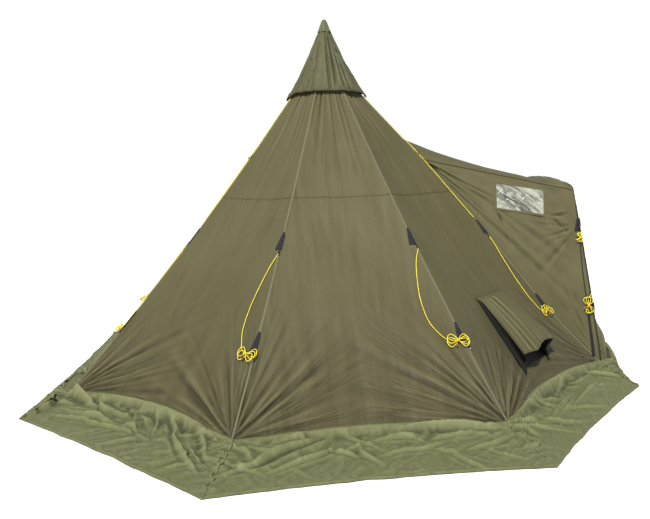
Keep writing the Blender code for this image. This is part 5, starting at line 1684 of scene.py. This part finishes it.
def make_vents():
    """Each low vent: its propped awning with pulled folds, the gussets at its sides, and its net."""
    for panel, label in zip(VENT_PANELS, ("near", "far")):
        top, along, out, down = vent_place(panel)
        angle = math.radians(VENT_OPEN_DEG)
        slope = down * math.cos(angle) + out * math.sin(angle)
        normal = out * math.cos(angle) - down * math.sin(angle)
        hinge = top + out * VENT_LIFT

        def awning_point(share, across):
            """A point of the awning: share is 0 at its seam and 1 at its hem, across from -1 to 1."""
            half = mix(VENT_TOP_WIDTH, VENT_HEM_WIDTH, share) / 2
            crown = (0.020 * np.sin(math.pi * share * 0.9) + 0.012 * share**3) * (1 - across**2)
            sag = 0.045 * bell(across + 0.45, 0.30) - 0.030 * bell(across - 0.35, 0.40)
            shift = AWNING_PULL * share**1.3 * (0.72 - 0.28 * across)
            at = hinge + slope * (VENT_LENGTH * (share + sag * share**3))[..., None]
            at = at + along * (half * across - shift)[..., None]
            crown = crown - 0.010 * share**2 * smooth(-across, 0.55, 1.0)
            at = at + normal * (crown + 0.001)[..., None]
            return mix(on_panel(panel, at, 0.003), at, smooth(share, -0.01, 0.13)[..., None])

        across, share = np.broadcast_arrays(np.linspace(-1, 1, 120)[None, :],
                                            np.linspace(0, 1, 100)[:, None] ** 1.1)
        base = awning_point(share, across)
        flat = (across + 1) / 2
        relief = pleats(flat, share * VENT_LENGTH, 701, 8, (0.05, 0.50), 0.0210, 0.80, (0.010, 0.022))
        relief += pleats(flat, (1 - share) * VENT_LENGTH, 702, 10, (0.10, 0.95), 0.0050, 0.22,
                         (0.012, 0.03))
        relief += 0.004 * flat_clouds(across * 0.25, share * 0.54, 0.08, 0.20, 73)
        edge = (1 - np.abs(across)) * 0.24
        relief = np.clip(relief, -0.024, 0.012) * smooth(edge, 0.0, 0.015) * smooth(share, 0.02, 0.12)
        body = f"vent_awning_{label}"
        sewn(f"sewn_{body}", base, relief, porch_cloth, body, [body], "canopy_cloth", "hung", normal,
             seam=np.minimum(edge, np.minimum(share, 1 - share) * VENT_LENGTH), deep=0.008)
        hem = awning_point(np.full(60, 1.0), np.linspace(-1, 1, 60)) + normal * 0.0005
        rib(f"awning_hem_{label}", hem, slope, 0.0070, 0.0022, olive_seam, body)
        band = awning_point(np.full(60, 0.015), np.linspace(-1, 1, 60)) + out * 0.0012
        rib(f"awning_top_{label}", band, down, 0.0075, 0.0016, olive_seam, body)
        make_gussets(panel, label, awning_point)
        make_net(panel, label)


def make_net(panel, label):
    """The insect net behind a vent's hole, a black sheet of painted shade below it and the binding round it.
    """
    top, along, out, down = vent_place(panel)
    wide, tall = VENT_HOLE
    u, v = np.linspace(-1, 1, 50)[None, :, None], np.linspace(0, 1, 50)[:, None, None]
    at = top + along * u * (wide / 2 + 0.012) + down * (VENT_HOLE_START - 0.012 + v * (tall + 0.024))
    # Below the hole, a black sheet of painted shade stands in for the shade under the awning.
    rows, columns = np.linspace(VENT_HOLE_START + tall + 0.006, VENT_SHADE_SHEET_END, 26), np.linspace(-1, 1, 40)
    spread = VENT_TOP_WIDTH / 2 * mix(1.0, 1.10, rows / VENT_SHADE_SHEET_END)
    facing = top + along * (columns[None] * spread[:, None] - 0.03)[..., None] + down * rows[:, None, None]
    facing = on_panel(panel, facing, 0.0022)
    sewn(f"vent_shade_sheet_{label}", facing, facing[..., 0] * 0, black_cloth_and_shade, "tent", [], "black_webbing",
         "stretched", out, thickness=0.0008)
    base = on_panel(panel, at, -0.0065)
    sewn(f"woven_vent_net_{label}", base, base[..., 0] * 0, insect_net, "tent", [f"vent_net_{label}"],
         "insect_net", "stretched", out, thickness=0.0006)
    corners = [(-1, 0), (1, 0), (1, 1), (-1, 1), (-1, 0)]
    loop = []
    for (u0, v0), (u1, v1) in zip(corners, corners[1:]):
        t = np.linspace(0.0, 1.0, 24, endpoint=False)[:, None]
        side, fall = mix(u0, u1, t), mix(v0, v1, t)
        loop.append(top + along * side * wide / 2 + down * (VENT_HOLE_START + fall * tall))
    route = on_panel(panel, np.vstack(loop), 0.0012)
    made = sweep(f"vent_hole_binding_{label}", route, black_webbing, 0.008, 0.0016,
                 across=np.cross(heading(route, True), out), sides=8, square=3.0, closed=True)
    fixed(made)


# Hood and top


def hood_radius(angle, z):
    """The hood's radius, eight-sided at its hem, and how much a cord pulls it there."""
    share = (z - HOOD_HEM_Z) / (HOOD_TOP_Z - HOOD_HEM_Z)
    round_part = mix(HOOD_RADIUS, HOOD_TOP_RADIUS, share) - 0.012 * np.sin(math.pi * np.clip(share, 0, 1))
    first = math.radians(FIRST_RIDGE_DEG)
    within = np.mod(angle - first, 2 * math.pi / SIDES) - math.pi / SIDES
    octagon = math.cos(math.pi / SIDES) / np.cos(within)
    pulled = 0.0
    for ridge in HOOD_CORD_RIDGES:
        off = half_turn(angle - first - 2 * math.pi / SIDES * ridge)
        pulled = pulled + bell(off, 0.10)
    return round_part * mix(1.0, octagon, 0.75 * (1 - share)), pulled * (1 - share) ** 3


def make_hood_seams():
    """Four ribs down the hood, between its cords."""
    for k in range(4):
        at = k * math.pi / 2 + 0.02
        heights = np.linspace(HOOD_HEM_Z, HOOD_TOP_Z, 80)
        reach, _ = hood_radius(at, heights)
        out = np.array([math.sin(at), -math.cos(at), 0.0])
        lifted = heights + HOOD_ARCH * np.linspace(1.0, 0.0, 80) ** 5
        route = out * (reach - 0.0015)[:, None] + np.stack([heights * 0, heights * 0, lifted], -1)
        rib(f"hood_seam_{k + 1}", route, (math.cos(at), math.sin(at), 0.0), 0.0050, 0.0018, olive_seam,
            "hood")


def make_hood():
    """The vent hood: a cone of cloth that hugs the neck, pulled into a corner by each of its four cords."""
    angle = np.linspace(0.0, 2 * math.pi, 400)[None, :]
    share = crowded(170, 0.3)[:, None]
    z = mix(HOOD_HEM_Z, HOOD_TOP_Z, share) + angle * 0
    radius, pulled = hood_radius(angle, z)
    radius = radius + HOOD_PULL * pulled
    ripple = 0.008 * clouds(np.stack([np.cos(angle), np.sin(angle), angle * 0], -1), 0.16, 88)
    z = z + HOOD_ARCH * (1 - share) ** 5 * (1 - np.clip(pulled, 0.0, 1.0)) - HOOD_DROP * pulled
    z = z + ripple * (1.0 - smooth(share, 0.0, 0.10))
    base = np.stack([radius * np.sin(angle), -radius * np.cos(angle), z], -1)
    draw = np.random.RandomState(801)
    relief = 0.0050 * clouds(base, 0.09, 85) + 0.0022 * clouds(base, 0.035, 86)
    for _ in range(30):
        at, wide, tall = draw.uniform(0, 2 * math.pi), draw.uniform(0.02, 0.06), draw.uniform(0.003, 0.010)
        start, long, drift = draw.uniform(-0.2, 0.8), draw.uniform(0.25, 0.6), draw.uniform(-0.2, 0.2)
        off = half_turn(angle - at - drift * share) / wide
        relief -= tall * bell(off) * bell(share - start, long) * mix(1.0, 0.5, share)
    for top, foot, start, end, tall, wide in HOOD_FOLDS:
        at = mix(foot, top, share)
        off = half_turn(angle - at) / (wide * (1.0 + 0.8 * share))
        within = smooth(share, start - 0.10, start + 0.05) * (1.0 - smooth(share, end - 0.05, end + 0.05))
        relief += tall * (0.55 * bell(off - 1.5) - bell(off)) * within
    relief = np.clip(relief, -0.026, 0.006) * smooth(z, HOOD_HEM_Z - 0.03, HOOD_HEM_Z + 0.03)
    sewn("sewn_vent_hood", base, relief, hood_cloth, "hood", ["vent_hood"], "hood_cloth", "hung",
         base * [1, 1, 0], seam=share * 0.5 + angle * 0, deep=0.012)
    make_hood_seams()
    made = sweep("hood_hem_binding", base[0, :-1] + [0, 0, 0.002], olive_seam, 0.0080, 0.0022,
                 across=(0.0, 0.0, 1.0), sides=8, square=3.0, closed=True)
    fixed(made, "hood")


def make_tip():
    """The pale cap at the very top, gathered over the hood."""
    turn = np.linspace(0.0, 2 * math.pi, 120)[None, :]
    outline = np.array([(0.0575, HOOD_TOP_Z - 0.016), (0.0505, HOOD_TOP_Z - 0.002), (0.034, APEX_Z - 0.045),
                        (0.0235, APEX_Z - 0.015), (0.014, APEX_Z - 0.003), (0.0015, APEX_Z)])
    knots = smooth_route(np.insert(outline, 1, 0.0, axis=1), 60)
    radius, z = knots[:, 0][:, None], knots[:, 2][:, None]
    folds = 0.10 * np.cos(turn * 5 + 1.0) * smooth(APEX_Z - z, 0.0, 0.05) + 0.05 * np.cos(turn * 11)
    wide = np.clip(radius * (1 + folds * 0.8) - 0.002, 0.001, None)
    base = np.stack([wide * np.sin(turn), -wide * np.cos(turn), z + turn * 0], -1)
    relief = 0.0008 * clouds(base, 0.02, 91)
    sewn("sewn_hood_tip", base, relief, tip_cloth, "hood", ["hood_tip"], "tip_cloth", "hung",
         base * [1, 1, 0] + np.array([0, 0, 0.01]), thickness=0.0010)


def make_hood_loops():
    """A webbing loop at each pulled corner of the hood, and one halfway down each of those ridges."""
    for ridge in HOOD_CORD_RIDGES:
        out = ridge_direction(ridge)
        side = np.array([-out[1], out[0], 0.0])
        corner = out * (HOOD_RADIUS + 0.004) + np.array([0.0, 0.0, HOOD_HEM_Z - 0.004])
        loop = bent(corner, out, np.array([0.0, 0.0, 1.0]), HOOD_LOOP)
        rib(f"hood_loop_{ridge + 1}", smooth_route(loop, 26), side, 0.0070, 0.0010, black_webbing,
            "hood")
        right, lift, down = ridge_axes(ridge, RIDGE_LOOP_Z)
        loop = bent(ridge_point(ridge, RIDGE_LOOP_Z) + lift * 0.001, down, lift, RIDGE_LOOP)
        rib(f"ridge_loop_{ridge + 1}", smooth_route(loop, 30), right, 0.0080, 0.0010, black_webbing)


def make_patch_rings():
    """At the foot of each patch, a short webbing loop that holds a steel ring."""
    for ridge in range(SIDES):
        for z, label in zip(PATCH_BASES, ("upper", "lower")):
            right, out, down = ridge_axes(ridge, z)
            if ridge in DOOR_RIDGES:
                at = beside_ridge(ridge, z, 0.018, 0.003)
            else:
                at = ridge_point(ridge, z) + out * 0.003
            tab = bent(at, down, out, RING_TAB)
            rib(f"ring_tab_{label}_{ridge + 1}", smooth_route(tab, 22), right, 0.0065, 0.0010,
                black_webbing)
            turn = np.linspace(0.0, 2 * math.pi, 28, endpoint=False)[:, None]
            centre = at + down * 0.0125 + out * 0.0035
            ring = centre + (right * np.cos(turn) + down * np.sin(turn)) * 0.0095
            made = sweep(f"steel_ring_{label}_{ridge + 1}", ring, ring_steel, 0.0013, across=out, sides=10,
                         closed=True)
            fixed(made)


# Carried-over pieces and the studio


def finish_frame():
    """Better finishes for the frame pieces that stay."""
    looks = {"pole_lower_tube": alloy, "pole_upper_tube": alloy, "arch_pole_near": alloy,
             "arch_pole_far": alloy, "pole_top_cap": black_moulding, "pole_twist_clamp": black_moulding,
             "pole_foot": foot_rubber, "top_strap_crown": black_webbing, "door_zip_slider": slider_metal}
    for name, look in looks.items():
        for slot in cad[name].material_slots:
            slot.material = look


def make_studio():
    """A wide pale floor, an even sky and a soft lamp from the front left."""
    floor = Finish("pale_floor", (0.80, 0.80, 0.80), 0.95, Specular_IOR_Level=0.1)
    speck = floor.cloud(floor.place_at(), 40.0, 2.0)
    floor.set("Base Color", floor.blend((0.795, 0.795, 0.795), (0.805, 0.805, 0.805), speck))
    mesh = bpy.data.meshes.new("studio_floor")
    work = bmesh.new()
    bmesh.ops.create_circle(work, cap_ends=True, segments=96, radius=60.0)
    work.to_mesh(mesh)
    work.free()
    mesh.materials.append(floor.material)
    link(bpy.data.objects.new("studio_floor", mesh))
    scene = bpy.context.scene
    world = bpy.data.worlds.new("pale_sky")
    world.use_nodes = True
    add, wire = world.node_tree.nodes.new, world.node_tree.links.new
    where, split, fade = add("ShaderNodeTexCoord"), add("ShaderNodeSeparateXYZ"), add("ShaderNodeMapRange")
    steps = (*SKY_FADE, SKY_LEVEL, SKY_OVERHEAD)
    for socket, value in zip(("From Min", "From Max", "To Min", "To Max"), steps):
        fade.inputs[socket].default_value = value
    sky = world.node_tree.nodes["Background"]
    wire(where.outputs["Generated"], split.inputs[0])
    wire(split.outputs["Z"], fade.inputs["Value"])
    wire(fade.outputs[0], sky.inputs["Strength"])
    sky.inputs["Color"].default_value = SKY_COLOUR
    scene.world = world
    scene.view_settings.view_transform = "Standard"
    lamp = bpy.data.lights.new("soft_sun", "SUN")
    lamp.energy, lamp.angle, lamp.color = SUN_STRENGTH, math.radians(SUN_SIZE_DEG), SUN_COLOUR
    sun = link(bpy.data.objects.new("soft_sun", lamp))
    sun.rotation_euler = Vector(SUN_FROM).to_track_quat("Z", "Y").to_euler()


make_cords()
make_canopy()
make_gable()
make_band_seams()
make_ridges()
make_patch_rings()
make_skirt()
make_skirt_seams()
make_front_wall()
make_roof()
make_side_walls()
make_porch_seams()
make_door()
make_vents()
make_hood()
make_tip()
make_hood_loops()
finish_frame()
make_studio()
